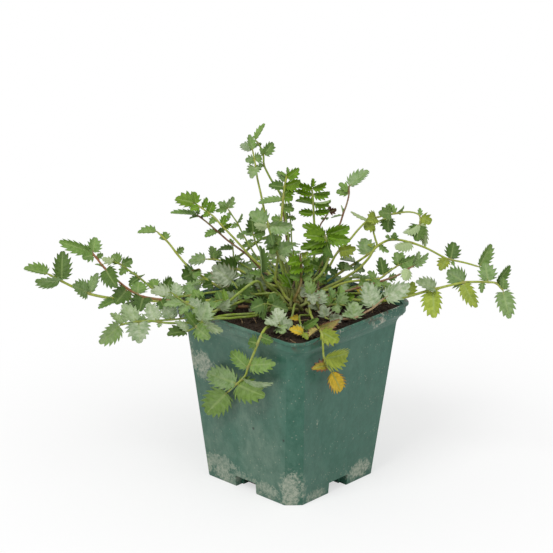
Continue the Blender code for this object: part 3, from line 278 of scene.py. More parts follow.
def limeMask(tree, place, broad, fine, grit):
    # a thin film, hardly any on the corner and the right wall, with crusts where water dried, and dust
    x, y, _ = splitParts(tree, place)
    left = ramp(tree, y, -0.038, -0.030, 1.0, 0.0)
    left = work(tree, "MULTIPLY", left, ramp(tree, x, 0.024, 0.034, 1.0, 0.0))
    cloud = ramp(tree, broad, 0.36, 0.64)
    cloud = work(tree, "MULTIPLY", cloud, ramp(tree, fine, 0.35, 0.65, 0.35, 1.0))
    cloud = work(tree, "MULTIPLY_ADD", cloud, 0.8, 0.2)
    lime = work(tree, "MULTIPLY", work(tree, "MULTIPLY_ADD", left, 0.20, 0.06), cloud)
    wisps = work(tree, "MULTIPLY_ADD", work(tree, "MULTIPLY_ADD", grit, 0.5, fine), 2.6, -1.50)
    grains = ramp(tree, grit, 0.42, 0.58, 0.55, 1.0)
    for middle, reach, amount in pot["limePatches"]:
        feeds = {0: place, 1: Vector(middle) / 1000}
        away = addNode(tree, "ShaderNodeVectorMath", feeds, operation="SUBTRACT").outputs["Vector"]
        feeds = {0: away, 1: [1000 / side for side in reach]}
        away = addNode(tree, "ShaderNodeVectorMath", feeds, operation="MULTIPLY").outputs["Vector"]
        away = addNode(tree, "ShaderNodeVectorMath", {0: away}, operation="LENGTH").outputs["Value"]
        near = ramp(tree, away, 0.0, 1.0, 1.0, 0.0)
        patch = ramp(tree, work(tree, "MULTIPLY_ADD", near, 0.80, wisps), 0.50, 1.16)
        patch = work(tree, "MULTIPLY", patch, grains)
        patch = work(tree, "MULTIPLY", patch, ramp(tree, near, 0.0, 0.45, 0.0, amount))
        lime = work(tree, "MAXIMUM", lime, patch)
    dust = work(tree, "MULTIPLY", ramp(tree, grit, 0.645, 0.70), work(tree, "MULTIPLY_ADD", left, 0.34, 0.10))
    return work(tree, "MAXIMUM", lime, dust)


def chalkMask(tree, place, crust):
    # chalk splashed on the right part of the rim, and small spots everywhere
    _, y, z = splitParts(tree, place)
    splash = ramp(tree, speckle(tree, objectPlace(tree, shift=(3, 1, 2)), 75, 2), 0.48, 0.58)
    splash = work(tree, "MULTIPLY", splash, ramp(tree, z, 0.0885, 0.0925))
    splash = work(tree, "MULTIPLY", splash, ramp(tree, y, -0.040, -0.030))
    splash = work(tree, "MULTIPLY", work(tree, "MULTIPLY", splash, ramp(tree, crust, 0.78, 0.86)), 0.85)
    spots = dotted(tree, place, 640, 0.14, 0.34, 0.80, 0.84)
    return work(tree, "MAXIMUM", splash, work(tree, "MULTIPLY", spots, 0.22))


def soilStainMask(tree, place):
    # compost smeared along the top of the rim
    z = splitParts(tree, place)[2]
    smear = ramp(tree, speckle(tree, objectPlace(tree, shift=(7, 5, 1)), 150, 6, 0.7), 0.50, 0.62)
    return work(tree, "MULTIPLY", smear, ramp(tree, z, 0.092, 0.0985, 0.0, 0.85))


def makePotMaterial():
    material, tree, shader = newMaterial("limedGreenPlastic", 0.42, 0.3)
    place = objectPlace(tree)
    broad = speckle(tree, place, 34, 5, 0.6)
    fine = speckle(tree, objectPlace(tree, (1, 1, 0.7)), 210, 8, 0.75)
    grit = speckle(tree, objectPlace(tree, shift=(2, 4, 6)), 620, 4, 0.7)
    colour = mixColours(tree, ramp(tree, fine, 0.3, 0.7), pot["plastic"], pot["faded"])
    lime = limeMask(tree, place, broad, fine, grit)
    colour = mixColours(tree, lime, colour, pot["limed"])
    chalk = chalkMask(tree, place, work(tree, "MULTIPLY_ADD", grit, 0.5, fine))
    colour = mixColours(tree, chalk, colour, pot["chalk"])
    colour = mixColours(tree, soilStainMask(tree, place), colour, pot["stain"])
    specks = dotted(tree, place, 95, 0.05, 0.11, 0.80, 0.82)
    colour = mixColours(tree, work(tree, "MULTIPLY", specks, 0.85), colour, pot["speck"])
    tree.links.new(colour, shader.inputs["Base Color"])
    rough = work(tree, "MULTIPLY_ADD", lime, 0.45, ramp(tree, fine, 0.3, 0.7, 0.30, 0.42))
    tree.links.new(rough, shader.inputs["Roughness"])
    grain = work(tree, "ADD", speckle(tree, place, 900, 3), work(tree, "MULTIPLY", broad, 2.0))
    addGrain(tree, shader, grain, 0.12, 0.0005)
    return material


def makePot():
    lip = pot["height"] - pot["lipHeight"]
    shell = plainObject(growRings([
        wallRing(0, 0.5),
        wallRing(0.15, 0.18),
        wallRing(0.6),
        wallRing(pot["flare"] - 0.4),
        wallRing(pot["flare"]),
        cornerRing(pot["wallTopHalf"] + 0.05, 6.8, 0.3, 88.9),
        cornerRing(pot["wallTopHalf"] + 0.4, 7.1, 0.5, 90.0),
        cornerRing(pot["bandHalf"] - 1.9, 7.6, 0.75, 91.3),
        cornerRing(pot["bandHalf"] - 0.7, 8.2, 0.95, 92.7),
        cornerRing(pot["bandHalf"] - 0.15, pot["rimCorner"], 1, 93.5),
        cornerRing(pot["bandHalf"], pot["rimCorner"], 1, pot["bandFoot"] + 0.2),
        cornerRing(pot["bandHalf"], pot["rimCorner"], 1, lip - 0.35),
        cornerRing(pot["lipHalf"] - 0.3, pot["rimCorner"], 1, lip - 0.15),
        cornerRing(pot["lipHalf"], pot["rimCorner"], 1, lip + 0.2),
        cornerRing(pot["lipHalf"], pot["rimCorner"], 1, pot["height"] - 0.45),
        cornerRing(pot["lipHalf"] - 0.14, pot["rimCorner"], 1, pot["height"] - 0.13),
        cornerRing(pot["lipHalf"] - 0.45, pot["rimCorner"], 1, pot["height"]),
    ]), "potShell")
    hollow = plainObject(growRings([
        wallRing(pot["wall"], pot["wall"]),
        wallRing(pot["flare"] + 1, pot["wall"]),
        cornerRing(pot["mouthHalf"], pot["rimCorner"] - 0.7, 1, pot["bandFoot"] + 2.4),
        cornerRing(pot["mouthHalf"], pot["rimCorner"] - 0.7, 1, lip - 0.1),
        cornerRing(pot["mouthHalf"] + 0.9, pot["rimCorner"] - 0.5, 1, pot["height"] - 0.5),
        cornerRing(pot["mouthHalf"] + 1.3, pot["rimCorner"] - 0.3, 1, pot["height"] + 0.01),
        cornerRing(pot["mouthHalf"] + 1.3, pot["rimCorner"] - 0.3, 1, pot["height"] + 5),
    ]), "potHollow")
    back = pot["baseHalf"] - pot["pocketDepth"]
    linings = plainObject(footBoxes(
        pot["pocketWidth"] + 2 * pot["wall"], pot["pocketHeight"] + pot["wall"] + 2,
        back - pot["wall"], pot["baseHalf"] + 5, -2), "pocketLinings")
    hollow = plainObject(carve(hollow, [linings]), "potHollow")
    pockets = plainObject(footBoxes(
        pot["pocketWidth"], pot["pocketHeight"] + 2, back, pot["baseHalf"] + 5, -2), "pockets")
    holes = plainObject(footBoxes(
        pot["holeWidth"], pot["holeHeight"] + 2, back - pot["holeDepth"], back + 1, -2), "drainHoles")
    bm = carve(shell, [hollow, pockets, holes])
    finishPiece(bm, "nurseryPot", [makePotMaterial()], "pot", 28)
    print("pot made")


# The leaf sheet

sheet = {
    "turn": math.radians(42.25), "lean": math.radians(19.5), "crownHeight": 95.0, "gap": 0.3,
    "sight": (-8.0, 17.0, 1138.0),  # across, up, and how far in front of the crown the sheet is sighted from
}


def leadOnSheet(across, up, into):
    # a direction on the sheet, in the pot's own axes
    back = into * math.cos(sheet["lean"]) + up * math.sin(sheet["lean"])
    rise = up * math.cos(sheet["lean"]) - into * math.sin(sheet["lean"])
    right = Vector((math.cos(sheet["turn"]), math.sin(sheet["turn"]), 0))
    away = Vector((-math.sin(sheet["turn"]), math.cos(sheet["turn"]), 0))
    return right * across + away * back + Vector((0, 0, rise))


def placeOnSheet(across, up, into):
    # what stands nearer than the sheet covers more of it, so it is drawn in towards the line of sight
    sightAcross, sightUp, distance = sheet["sight"]
    share = 1 + into / distance
    across = sightAcross + (across - sightAcross) * share
    up = sightUp + (up - sightUp) * share
    return Vector((0, 0, sheet["crownHeight"])) + leadOnSheet(across, up, into)


# Compost

compost = {
    "edgeHeight": 95.5, "swell": 0.8, "half": 43.9, "corner": 8.6, "foot": 1.5, "cells": 96,
    "crumbs": 640, "straws": 170, "seed": 11,
    "earth": (0.040, 0.027, 0.017, 1), "crumb": (0.062, 0.041, 0.026, 1), "straw": (0.33, 0.23, 0.12, 1),
    # hollow is a painted shade colour: the dips of the soil and the crown are darkened towards it
    "fibre": (0.085, 0.052, 0.030, 1), "hollow": (0.35, 0.30, 0.26, 1), "fleck": (0.24, 0.17, 0.10, 1),
}


def soilHeight(x, y):
    reach = min(1.0, max(abs(x), abs(y)) / pot["mouthHalf"])
    lumps = 0.35 * math.sin(x * 0.21 + 1.0) * math.cos(y * 0.17 + 0.4)
    return compost["edgeHeight"] + compost["swell"] * (1 - reach ** 2) + lumps * (1 - reach)


def roughSoil(x, y):
    place = Vector((x * 0.22, y * 0.22, 1.7))
    lump = noise.fractal(place, 0.8, 2.1, 4)
    crack = noise.ridged_multi_fractal(Vector((x * 0.5, y * 0.5, 4.0)), 0.9, 2.0, 3, 0.8, 1.6)
    return soilHeight(x, y) + 0.75 * lump + 0.28 * (crack - 1.0)


def intoRoundSquare(a, b):
    # a point of the plain square, -1 to 1, moved into the pot's rounded square
    reach = max(abs(a), abs(b))
    if reach < 1e-6:
        return 0.0, 0.0
    half, corner = compost["half"] * reach, compost["corner"] * reach
    far, near = half, min(abs(a), abs(b)) * compost["half"]
    if near > half - corner:
        angle = (near - half + corner) / corner * math.pi / 4
        far = half - corner + corner * math.cos(angle)
        near = half - corner + corner * math.sin(angle)
    x, y = (far, near) if abs(a) >= abs(b) else (near, far)
    return math.copysign(x, a), math.copysign(y, b)


def makeSoilMaterial(name, roughness, paleness):
    material, tree, shader = newMaterial(name, roughness, 0.25)
    place = objectPlace(tree)
    lump = speckle(tree, place, 380, 8, 0.65)
    # painted shade: where the lumps' bump is low, the colour is darkened towards the hollow colour, as if
    # shade lay in the dips
    hollowShade = ramp(tree, lump, 0.3, 0.7, 0.85, 0.0)
    colour = mixColours(tree, hollowShade, readAttribute(tree, "ownTint", "Color"), compost["hollow"], "MULTIPLY")
    fleck = ramp(tree, speckle(tree, place, 1300, 3), 0.62, 0.72, 0.0, paleness)
    colour = mixColours(tree, fleck, colour, compost["fleck"])
    tree.links.new(colour, shader.inputs["Base Color"])
    addGrain(tree, shader, lump, 0.9, 0.0008)
    return material


def makeSoilBlock():
    bm = bmesh.new()
    bmesh.ops.create_grid(bm, x_segments=compost["cells"], y_segments=compost["cells"], size=1)
    for vert in bm.verts:
        x, y = intoRoundSquare(vert.co.x, vert.co.y)
        edge = max(abs(vert.co.x), abs(vert.co.y))
        vert.co = Vector((x, y, roughSoil(x, y) - 0.5 * max(0.0, edge - 0.93) / 0.07))
    rim = [edge for edge in bm.edges if edge.is_boundary]
    for z, share in ((pot["bandFoot"] - 1, 0.977), (pot["flare"] + 0.7, 0.957), (compost["foot"], 0.787)):
        made = bmesh.ops.extrude_edge_only(bm, edges=rim)["geom"]
        for vert in (item for item in made if isinstance(item, bmesh.types.BMVert)):
            vert.co = Vector((vert.co.x * share, vert.co.y * share, z))
        rim = [item for item in made if isinstance(item, bmesh.types.BMEdge) and item.is_boundary]
    bmesh.ops.contextual_create(bm, geom=rim)
    room = pot["wall"] + sheet["gap"]
    feet = plainObject(footBoxes(
        pot["pocketWidth"] + 2 * room, pot["pocketHeight"] + room + 2,
        pot["baseHalf"] - pot["pocketDepth"] - room, pot["baseHalf"] + 5, -2), "soilFeet")
    return carve(plainObject(bm, "soilBlock"), [feet])


def scatterCrumbs(bm, tint, chance):
    for _ in range(compost["crumbs"]):
        x, y = intoRoundSquare(chance.uniform(-0.96, 0.96), chance.uniform(-0.96, 0.96))
        size = chance.choice((0.35, 0.45, 0.6, 0.8, 1.15))
        turn = Euler([chance.uniform(0, math.tau) for _ in range(3)]).to_matrix().to_4x4()
        squeeze = Matrix.Diagonal([size * chance.uniform(0.6, 1.25) for _ in range(3)] + [1])
        z = roughSoil(x, y) + size * chance.uniform(0.1, 0.45)
        place = Matrix.Translation((x, y, z)) @ turn @ squeeze
        made = bmesh.ops.create_icosphere(bm, subdivisions=1, radius=1, matrix=place)["verts"]
        colour = shaded(compost["crumb"], chance.uniform(0.55, 1.5))
        for vert in made:
            vert.co += noise.noise_vector(vert.co * 1.3) * size * 0.35
            vert[tint] = colour


def strawRoute(start, heading, bend, length, radius):
    # five points that rest on the soil and stay inside the pot
    centres = []
    for step in range(5):
        share = step / 4 - 0.5
        point = start + heading * (share * length) + bend * (length * share * share)
        point.x, point.y = intoRoundSquare(*[max(-0.96, min(0.96, c / compost["half"])) for c in point.xy])
        point.z = max(point.z, roughSoil(point.x, point.y) + radius)
        centres.append(point)
    return centres


def scatterStraws(bm, tint, chance):
    # pale bits of straw and thinner dark fibres
    axis = crownAxis()
    for i in range(compost["straws"]):
        x, y = intoRoundSquare(chance.uniform(-0.95, 0.95), chance.uniform(-0.95, 0.95))
        if math.hypot(x - axis.x, y - axis.y) < rootstock["radius"]:
            continue
        isStraw = chance.random() < 0.42
        length = chance.uniform(3, 9) if isStraw else chance.uniform(5, 14)
        heading = Vector((math.cos(i * 2.4), math.sin(i * 2.4), chance.uniform(-0.05, 0.22)))
        bend = Vector((-heading.y, heading.x, 0)) * chance.uniform(-0.25, 0.25)
        radius = chance.uniform(0.16, 0.34) if isStraw else chance.uniform(0.09, 0.17)
        start = Vector((x, y, roughSoil(x, y) + 0.25 + radius))
        centres = strawRoute(start, heading, bend, length, radius)
        colour = shaded(compost["straw" if isStraw else "fibre"], chance.uniform(0.6, 1.25))
        growTube(bm, centres, [radius] * 4 + [radius * 0.6], 4, evenPaint(tint, colour))


def makeCompost(soilMaterial):
    bm = makeSoilBlock()
    tint = bm.verts.layers.float_color.new("ownTint")
    for vert in bm.verts:
        vert[tint] = compost["earth"]
    chance = random.Random(compost["seed"])
    noise.seed_set(compost["seed"])  # or else noise_vector follows the clock
    scatterCrumbs(bm, tint, chance)
    scatterStraws(bm, tint, chance)
    finishPiece(bm, "pottingCompost", [soilMaterial], "compost")
    print("compost made")


# Rootstock

rootstock = {
    "across": 3, "radius": 12.0, "top": 98.8, "tip": 52.0, "sides": 40, "stubs": 34, "seed": 5,
    "bark": (0.115, 0.070, 0.040, 1), "stub": (0.20, 0.12, 0.065, 1),
}


def crownAxis():
    return placeOnSheet(rootstock["across"], 0, 0)


def rootProfile():
    wide = rootstock["radius"]
    return [(0.8, rootstock["tip"]), (2.2, rootstock["tip"] + 14), (4.6, 82.0), (9.5, 91.5), (wide, 95.0),
            (wide - 0.6, 96.5), (wide - 3.4, 97.6), (5.5, 98.4), (2.5, rootstock["top"])]


def rootSurface(radius):
    # how high the crown's dome, or else the soil, is at a distance from its axis
    dome = rootProfile()[5:]
    for (wide, low), (narrow, high) in zip(dome, dome[1:]):
        if narrow <= radius <= wide:
            return low + (high - low) * (wide - radius) / (wide - narrow)
    return rootstock["top"] if radius < rootstock["radius"] / 2 else compost["edgeHeight"] + compost["swell"]


def makeRootstock(barkMaterial):
    axis = crownAxis()
    rings = []
    for radius, z in rootProfile():
        ring = []
        for step in range(rootstock["sides"]):
            angle = step * math.tau / rootstock["sides"]
            lump = 1 + 0.06 * noise.noise(Vector((math.cos(angle) * 3, math.sin(angle) * 3, z * 0.4)))
            arm = Vector((math.cos(angle), math.sin(angle), 0)) * radius * lump
            ring.append(Vector((axis.x, axis.y, z)) + arm)
        rings.append(ring)
    bm = growRings(rings)
    tint = bm.verts.layers.float_color.new("ownTint")
    for vert in bm.verts:
        vert[tint] = rootstock["bark"]
    # the stubs of old stalks stand in a spiral over the crown
    chance = random.Random(rootstock["seed"])
    for i in range(rootstock["stubs"]):
        angle = i * 2.399
        reach = rootstock["radius"] * math.sqrt((i + 0.5) / rootstock["stubs"]) * 0.94
        out = Vector((math.cos(angle), math.sin(angle), 0))
        foot = Vector((axis.x, axis.y, rootSurface(reach) - 0.4)) + out * reach
        lean = (out * chance.uniform(0.2, 0.9) + Vector((0, 0, 1))).normalized() * chance.uniform(0.9, 2.0)
        size = chance.uniform(0.4, 0.75)
        colour = shaded(rootstock["stub"], chance.uniform(0.5, 1.2))
        centres, radii = [foot, foot + lean * 0.6, foot + lean], [size, size * 0.85, size * 0.4]
        growTube(bm, centres, radii, 6, evenPaint(tint, colour))
    finishPiece(bm, "burnetCrown", [barkMaterial], "rootstock")
    print("rootstock made")


# Where the leaves go

growth = {
    "stalkTaper": 0.6, "stalkLeast": 0.8, "stalkReach": 0.7, "spreadRounds": 60, "spreadStep": 1.5,
    "bladeThick": 0.5, "petiolule": 0.9, "smallBlade": 7.0,
    "rings": {"outer": 11.0, "middle": 7.8, "inner": 4.8},
    "kinds": {"low": "outer", "rim": "outer", "hanging": "outer", "old": "outer", "back": "outer",
              "arching": "middle", "young": "middle", "tall": "inner"},
    "pairs": 5, "pairedFrom": 0.42, "pairedBlade": (7.0, 12.5), "pairedWidth": 0.72,
    "turns": (0, 22, -22, 45, -45), "sizes": (1.0, 0.82, 0.66, 0.5),
    "swings": ((0, 0), (14, 0), (-14, 0), (28, 0), (-28, 0), (0, 16), (0, -16), (28, 20), (-28, -20)),
}

# name, tone, stalk tint, stalk thickness, route of the stalk, and its leaflets as place along the
# route, the way to the tip (across, up, in), width, turn about that way, and tone
leafTable = [
    ("low_leaf_01", "g", "y", 2.2,
     [(-8, 8.2, -3), (-16, 8, -5), (-28, 6.5, -8), (-39, 5, -11), (-51, 2.8, -14), (-66, 3, -17),
      (-84, 4, -20), (-96, 4.5, -22), (-105, 6, -23), (-110, 7.5, -24), (-116, 10, -25),
      (-123, 13.4, -26), (-130, 17, -27)],
     [(13, -12.5, 3, 2, 10, 60, "g"), (12, -15, 1, -4, 10, -55, "g"), (12, -0.5, 15, 3, 9.5, 10, "d"),
      (9.5, 3, 10.5, 3, 8, -40, "y"), (9.7, -10.5, 6, -6, 9, 50, "y"), (7.7, -10, -5.5, -3, 5, 60, "g"),
      (6.8, -10, -12, -6, 8, 10, "w"), (1.5, -7, 1, -6, 8, 10, "u"), (2.2, -7.5, -4.5, -9, 10, 0, "g"),
      (3.2, -5, 5.5, -2, 7, 20, "d"), (4.1, -5, -5.5, -5, 7, 15, "g"), (4.8, -4, 6, 2, 7, 20, "g"),
      (5.9, -3, 6, 2, 6, 20, "y")]),
    ("low_leaf_02", "g", "r", 1.7,
     [(-18, 0.9, -6), (-36, 0.2, -12), (-50, 1, -17), (-65, 3.4, -21), (-74, 4.6, -23), (-81, 6, -24),
      (-87, 9.3, -25), (-93, 14, -26), (-99.8, 20.4, -27), (-104.5, 26, -28), (-107, 29, -28)],
     [(11, -16.3, 6, 3, 7.5, -25, "g"), (10.8, 1, 8, 2, 8, 20, "g"), (10.4, -5.5, -1, -4, 7, 10, "g"),
      (9.1, -4.5, 1.5, 1, 4.5, 30, "g"), (9, 7.5, -10.5, -5, 9, 5, "d"),
      (7.1, -5.7, -7.4, -5, 11, 0, "d"), (6.2, 0, 6.5, 4, 10, 0, "g"), (5.7, -1.5, -7, -9, 11, 0, "d"),
      (4.5, 3, -5, -6, 7, 10, "d"), (2.2, -3, 6, 2, 7, 20, "d"), (2.5, -4, -4, -4, 6, 10, "d"),
      (10.1, 3.5, 1.5, 2, 4, 30, "g")]),
    ("low_leaf_03", "g", "g", 1.6,
     [(-18, 7, 3), (-36, 8.8, 2), (-54, 6.2, 0), (-62, 5.3, -2), (-69, 6, -4), (-73.5, 9.3, -5),
      (-78, 12.8, -6), (-82.5, 16.4, -7), (-87, 19.4, -8), (-91.5, 22.6, -9), (-95, 24, -10)],
     [(11, -6, 2, 2, 5.5, 40, "p"), (10.2, -4, 4.5, 4, 7, 10, "g"), (10, 5.5, 2.5, 3, 7.5, 20, "g"),
      (9.4, -2.5, -3.5, -4, 5, 0, "g"), (8.1, -4.5, 1.5, 2, 4, 65, "g"), (8, 3.5, 1, 2, 3, 75, "g"),
      (7.8, -5, -4, -3, 5, 20, "d"), (6, -1, 5.5, 5, 7, 0, "g"), (5.2, 5, 9, 6, 8, 10, "d"),
      (2.9, -4, 5, 3, 6, 20, "y"), (3.1, 4, -5, -5, 6, 10, "y"), (4.2, -2, -6, -3, 6, 20, "g")]),
    ("low_leaf_04", "y", "g", 1.7,
     [(-20, -2.6, -16), (-38, -2.4, -27), (-46, -3, -30), (-51, -1, -32), (-56, 2, -34), (-60, 4.8, -35),
      (-64, 7.8, -36)],
     [(7, -10, 0, -3, 9, 40, "w"), (6.3, -1, 7, 3, 7, 20, "w"), (5.3, -9.5, -2, -5, 6, 40, "y"),
      (4.9, -3, -5, -5, 6, 10, "y"), (1.8, -2, 7, 2, 4, 20, "b"), (2.1, 5.5, 5, -4, 7, 20, "w"),
      (1.95, -4, -3.5, -4, 4, 20, "w"), (3.6, -4, 6.5, 2, 8, 10, "w"), (3.2, 1, -6.5, -4, 7, 5, "y")]),
    ("low_leaf_05", "y", "g", 1.7,
     [(-20, -2.4, -21), (-35, -4, -30), (-47, -7, -36), (-56, -8.2, -40), (-66, -8.4, -44),
      (-75, -7.5, -47), (-85, -8.3, -50), (-91, -9.8, -52)],
     [(8, -9.8, -8.7, -5, 10, -30, "y"), (7.8, -6, 5.5, 2, 5, 30, "y"), (6.7, -7, 8.5, 2, 9, 20, "w"),
      (6.6, 0.8, -10.2, -8, 12, 0, "w"), (5.4, -1, -2.5, -1.5, 3, 10, "y"),
      (5.6, -5.5, 8.5, 2, 9, 10, "w"), (3.2, -3, 6, 2, 7, 10, "y")]),
    ("low_leaf_06", "y", "g", 1.5,
     [(-22, 0, -15), (-37, -1.3, -22), (-48, -4, -26), (-60, -6.2, -30), (-70, -7, -33), (-77, -6.6, -35)],
     [(6, -6, -1, -2, 6, 20, "y"), (5.6, 0.5, 6, 3, 6, 20, "u"), (4.4, -3, 7, 2, 9, 20, "w"),
      (3.9, -1, 5.5, -1, 4, 50, "u"), (2.4, -3, -6.5, -4, 7, 5, "g"), (1.5, -4, 6, -3, 6, 20, "w")]),
    ("low_leaf_07", "y", "g", 1.6,
     [(-16, -3.8, -22), (-30, -5.2, -33.6), (-40, -5.8, -38), (-47, -7.5, -40), (-51, -10.5, -41),
      (-55.5, -12.9, -42)],
     [(6, -9.5, -1.5, -4, 9, 25, "d"), (5.8, -7, 5, 1, 5, 45, "w"), (4.9, -6, 7, 1, 7, 25, "d"),
      (5, 7.5, -5, -5, 9, 10, "g"), (4.1, 10.5, -4, -3, 6, 40, "w"), (4.2, 6, 8, 4, 10, 20, "w")]),
    ("low_leaf_08", "g", "y", 1.9,
     [(15, 5, -4), (30, 5.2, -6), (45, 4.4, -8), (53, 5.4, -9), (60, 6.6, -10), (66, 8.2, -11),
      (72, 10, -12), (79, 11.8, -13), (86, 13.6, -14), (93, 15, -15), (100, 15.3, -16), (105, 15.2, -17),
      (109.5, 14.6, -18), (113, 11, -20)],
     [(7.5, 1.5, -14, -4, 11, 20, "v"), (7.8, -11, 3.5, 2, 8, 30, "w"), (10, -10, 5.5, 3, 11, 10, "y"),
      (9.8, 6.5, -12.5, -4, 8, 15, "v"), (12, -1, 9.5, 4, 10, 0, "y"), (11.4, -0.5, -5.5, -3, 4, 20, "g"),
      (14, 3, -14, -5, 10, 5, "y"), (14, 0.5, 6.5, 3, 7, 20, "g"), (13, 8, 9.5, 2, 6, 35, "d"),
      (5.3, 3, 7.5, 1, 7, 10, "v")]),
    ("arching_leaf_01", "g", "y", 1.8,
     [(-14, 6, 5), (-26, 7.5, 8), (-35, 9.5, 10), (-42, 12.8, 12), (-50, 18, 14), (-56, 22.3, 15),
      (-61.5, 28.5, 16), (-65, 33, 17), (-67.6, 35.9, 17), (-72.6, 40.5, 18)],
     [(10, -10, -0.5, 2, 7, 50, "g"), (9, -4.8, 2.4, 2, 4, 40, "g"), (9, -1, 5, 2, 5, 30, "g"),
      (7.1, 3.5, 3, 2, 4.5, 20, "g"), (7.1, -3, 3.8, 1, 3.5, 60, "g"), (5.4, 3, 1, -2, 8, 20, "o"),
      (5.2, -7, -3, -3, 10, 10, "d"), (5.6, 3.5, -8, -5, 9, 0, "g"), (3, -11, 8.5, -2, 6, 55, "w"),
      (1.7, -4, 5.5, -3, 7, 15, "g"), (2.4, -3, -6, -6, 8, 5, "y"), (4, -5.5, -1.5, -4, 6, 15, "d")]),
    ("arching_leaf_02", "y", "y", 1.6,
     [(-4, 8.2, 8), (-10, 10.8, 13), (-16, 14, 18), (-22, 17, 23), (-28.5, 20.5, 28), (-32.5, 23, 30),
      (-36, 24.8, 32), (-41, 25.8, 34), (-46, 26, 35)],
     [(9, -9.5, -1.5, 2, 9, 45, "y"), (8.2, -1.5, 7, 3, 6, 30, "g"), (5.1, -13, 0.5, -5, 12, 10, "d"),
      (5.2, 8, 2, 2, 8, 15, "y"), (5.7, 1, 5, 2, 5, 30, "g"), (8.6, 7.5, 5, 2, 6, 45, "g"),
      (3.2, -6, -5.5, -6, 9, 10, "y"), (2.2, 5, 3.5, 0, 6, 20, "g")]),
    ("arching_leaf_03", "g", "g", 1.2,
     [(-12, 10, 20), (-22, 18, 26), (-29.6, 26, 30), (-31.3, 30, 31), (-32, 33.5, 31)],
     [(4.4, -8, -0.5, 2, 6, 55, "d"), (5, -1.5, 3.5, 2, 3, 40, "g"), (3.2, 5, -1, -2, 4.5, 30, "g")]),
    ("arching_leaf_04", "g", "p", 1.4,
     [(-8, 13, 8), (-15, 19.6, 11), (-19.5, 24, 13), (-24.5, 28.8, 15), (-30, 32.8, 17), (-35, 36.4, 19),
      (-40.3, 41, 20), (-46, 45.8, 21), (-51, 49.5, 22)],
     [(9, -14, 1, 1, 7, 72, "g"), (8.8, -5, -1.2, 0, 4, 50, "g"), (9, 0.5, 4, 1, 3, 50, "g"),
      (8.7, 3, 2, 1, 3, 60, "g"), (7, -6, -3.2, -3, 5.5, 45, "g"), (7, 4.5, 2, 2, 4.5, 40, "g")]),
    ("arching_leaf_05", "b", "y", 1.5,
     [(-8, 14.6, 3), (-15, 21.5, 5), (-20, 25.5, 7), (-25.5, 31.2, 9), (-30.5, 36.6, 11), (-35, 41.2, 12),
      (-39, 45.3, 13), (-42.5, 49, 14), (-45, 50.7, 14.5), (-48.5, 53.2, 15), (-52, 55.5, 16)],
     [(11, -10.5, 2.8, 3, 10.5, 30, "b"), (10.9, -1.5, 6.5, 2, 6, 35, "b"),
      (10.3, -5, -1.5, -2, 5, 20, "b"), (10, 2.5, 5.5, 3, 4.5, 30, "b"), (9, 2, 6, 3, 6, 20, "b"),
      (8.8, -3, -1.5, -2, 4, 20, "b"), (7.6, -3, -2.5, -2, 4.5, 20, "g"), (6.7, 1.5, 5.5, 4, 5, 30, "b"),
      (6.4, 4, 2, -2, 4, 40, "b")]),
    ("arching_leaf_06", "y", "g", 1.2,
     [(-6, 15, 10), (-12.5, 22, 12), (-18.5, 27, 14), (-22, 32, 15), (-26, 38.6, 16), (-29.5, 45.4, 17),
      (-32, 49, 17.5), (-34.8, 53.2, 18)],
     [(8, -5, 3, 2, 5.5, 30, "g"), (8, 3, 6, 1, 5, 25, "y"), (8, -6, -1.5, -2, 4.5, 30, "g"),
      (7.6, -0.8, -4.5, -1, 3, 70, "g"), (6, 2.3, 5, 2, 3, 55, "y"), (5.9, -3.2, -2, -2, 3.5, 20, "g"),
      (5, -3.6, -0.5, -2, 5, 10, "y"), (3.2, -3, -1, -2, 4, 20, "g")]),
    ("arching_leaf_07", "g", "y", 1.6,
     [(13, 9, 3), (24, 14.2, 6), (32, 19, 8), (36.5, 22.5, 9), (41, 27.5, 10), (44.6, 33, 11),
      (51, 37, 12), (57, 37.3, 13), (64, 35.8, 14), (72, 32.9, 15), (80, 28.8, 16), (84, 27.2, 16),
      (93, 25.3, 17), (100, 23.3, 18)],
     [(12.1, 2, 9, 3, 9.5, 5, "d"), (12.2, 1, -3, -1, 2.5, 20, "g"), (11.8, -4, -6, -3, 7, 15, "v"),
      (14, 6, 12, 3, 7.5, 25, "g"), (9, -12, -3.5, -3, 7, 40, "p"), (7.5, 0.5, 3.5, -3, 5, 10, "g"),
      (7.6, 3.5, 0.5, -3, 5, 10, "g"), (7.3, -3.5, 1.5, -2, 4, 10, "g"), (6.3, 5, -3.5, -2, 4, 20, "g")]),
    ("arching_leaf_08", "g", "y", 1.4,
     [(12, 11, 9), (18, 19, 12), (23, 28.5, 14), (26.7, 33, 15), (31, 37.5, 16), (35.5, 43, 17),
      (40.5, 47.6, 18), (48, 50, 19), (55, 51.4, 20), (61, 52.3, 21), (65.5, 51.8, 22), (68, 50, 22),
      (67.9, 45.6, 21)],
     [(9, -4, 5, 2, 4.5, 30, "g"), (9.1, 3.8, 4, 2, 5, 20, "g"), (8.7, -9, 1, -6.5, 8, 5, "g"),
      (7.6, -7, -3, -3, 8, 5, "v"), (12, -0.2, 4.8, 1, 3, 20, "g"), (12.1, 6, -2.5, 1, 8, 10, "v"),
      (13, -2, -8.5, -4, 10, 0, "d"), (13, -9.5, -6, -6, 6, 30, "p"), (12.8, 3, -12, -3, 5.5, 45, "p"),
      (3.4, 9.5, 2, 1, 8, 10, "v"), (7, -9, 4.5, 0, 3, 50, "p")]),
    ("arching_leaf_09", "y", "y", 1.4,
     [(15, 13, 14), (28, 21, 18), (38, 27.5, 20), (44.8, 33.5, 21), (44.2, 38, 21.5), (43.2, 42, 22),
      (43.8, 45.8, 22.5), (47.5, 47.8, 23), (51, 49, 23.5)],
     [(9, 0, -7.5, -3, 8, 10, "d"), (7, -5.5, -2.5, -3, 8, 5, "v"), (3.2, -1.5, 9, 3, 10, 5, "y"),
      (4, -4.5, 1, 0, 2.5, 20, "v"), (2.3, -5, -4, -4, 6, 20, "y"), (2.5, 5, -4, -5, 6, 20, "y"),
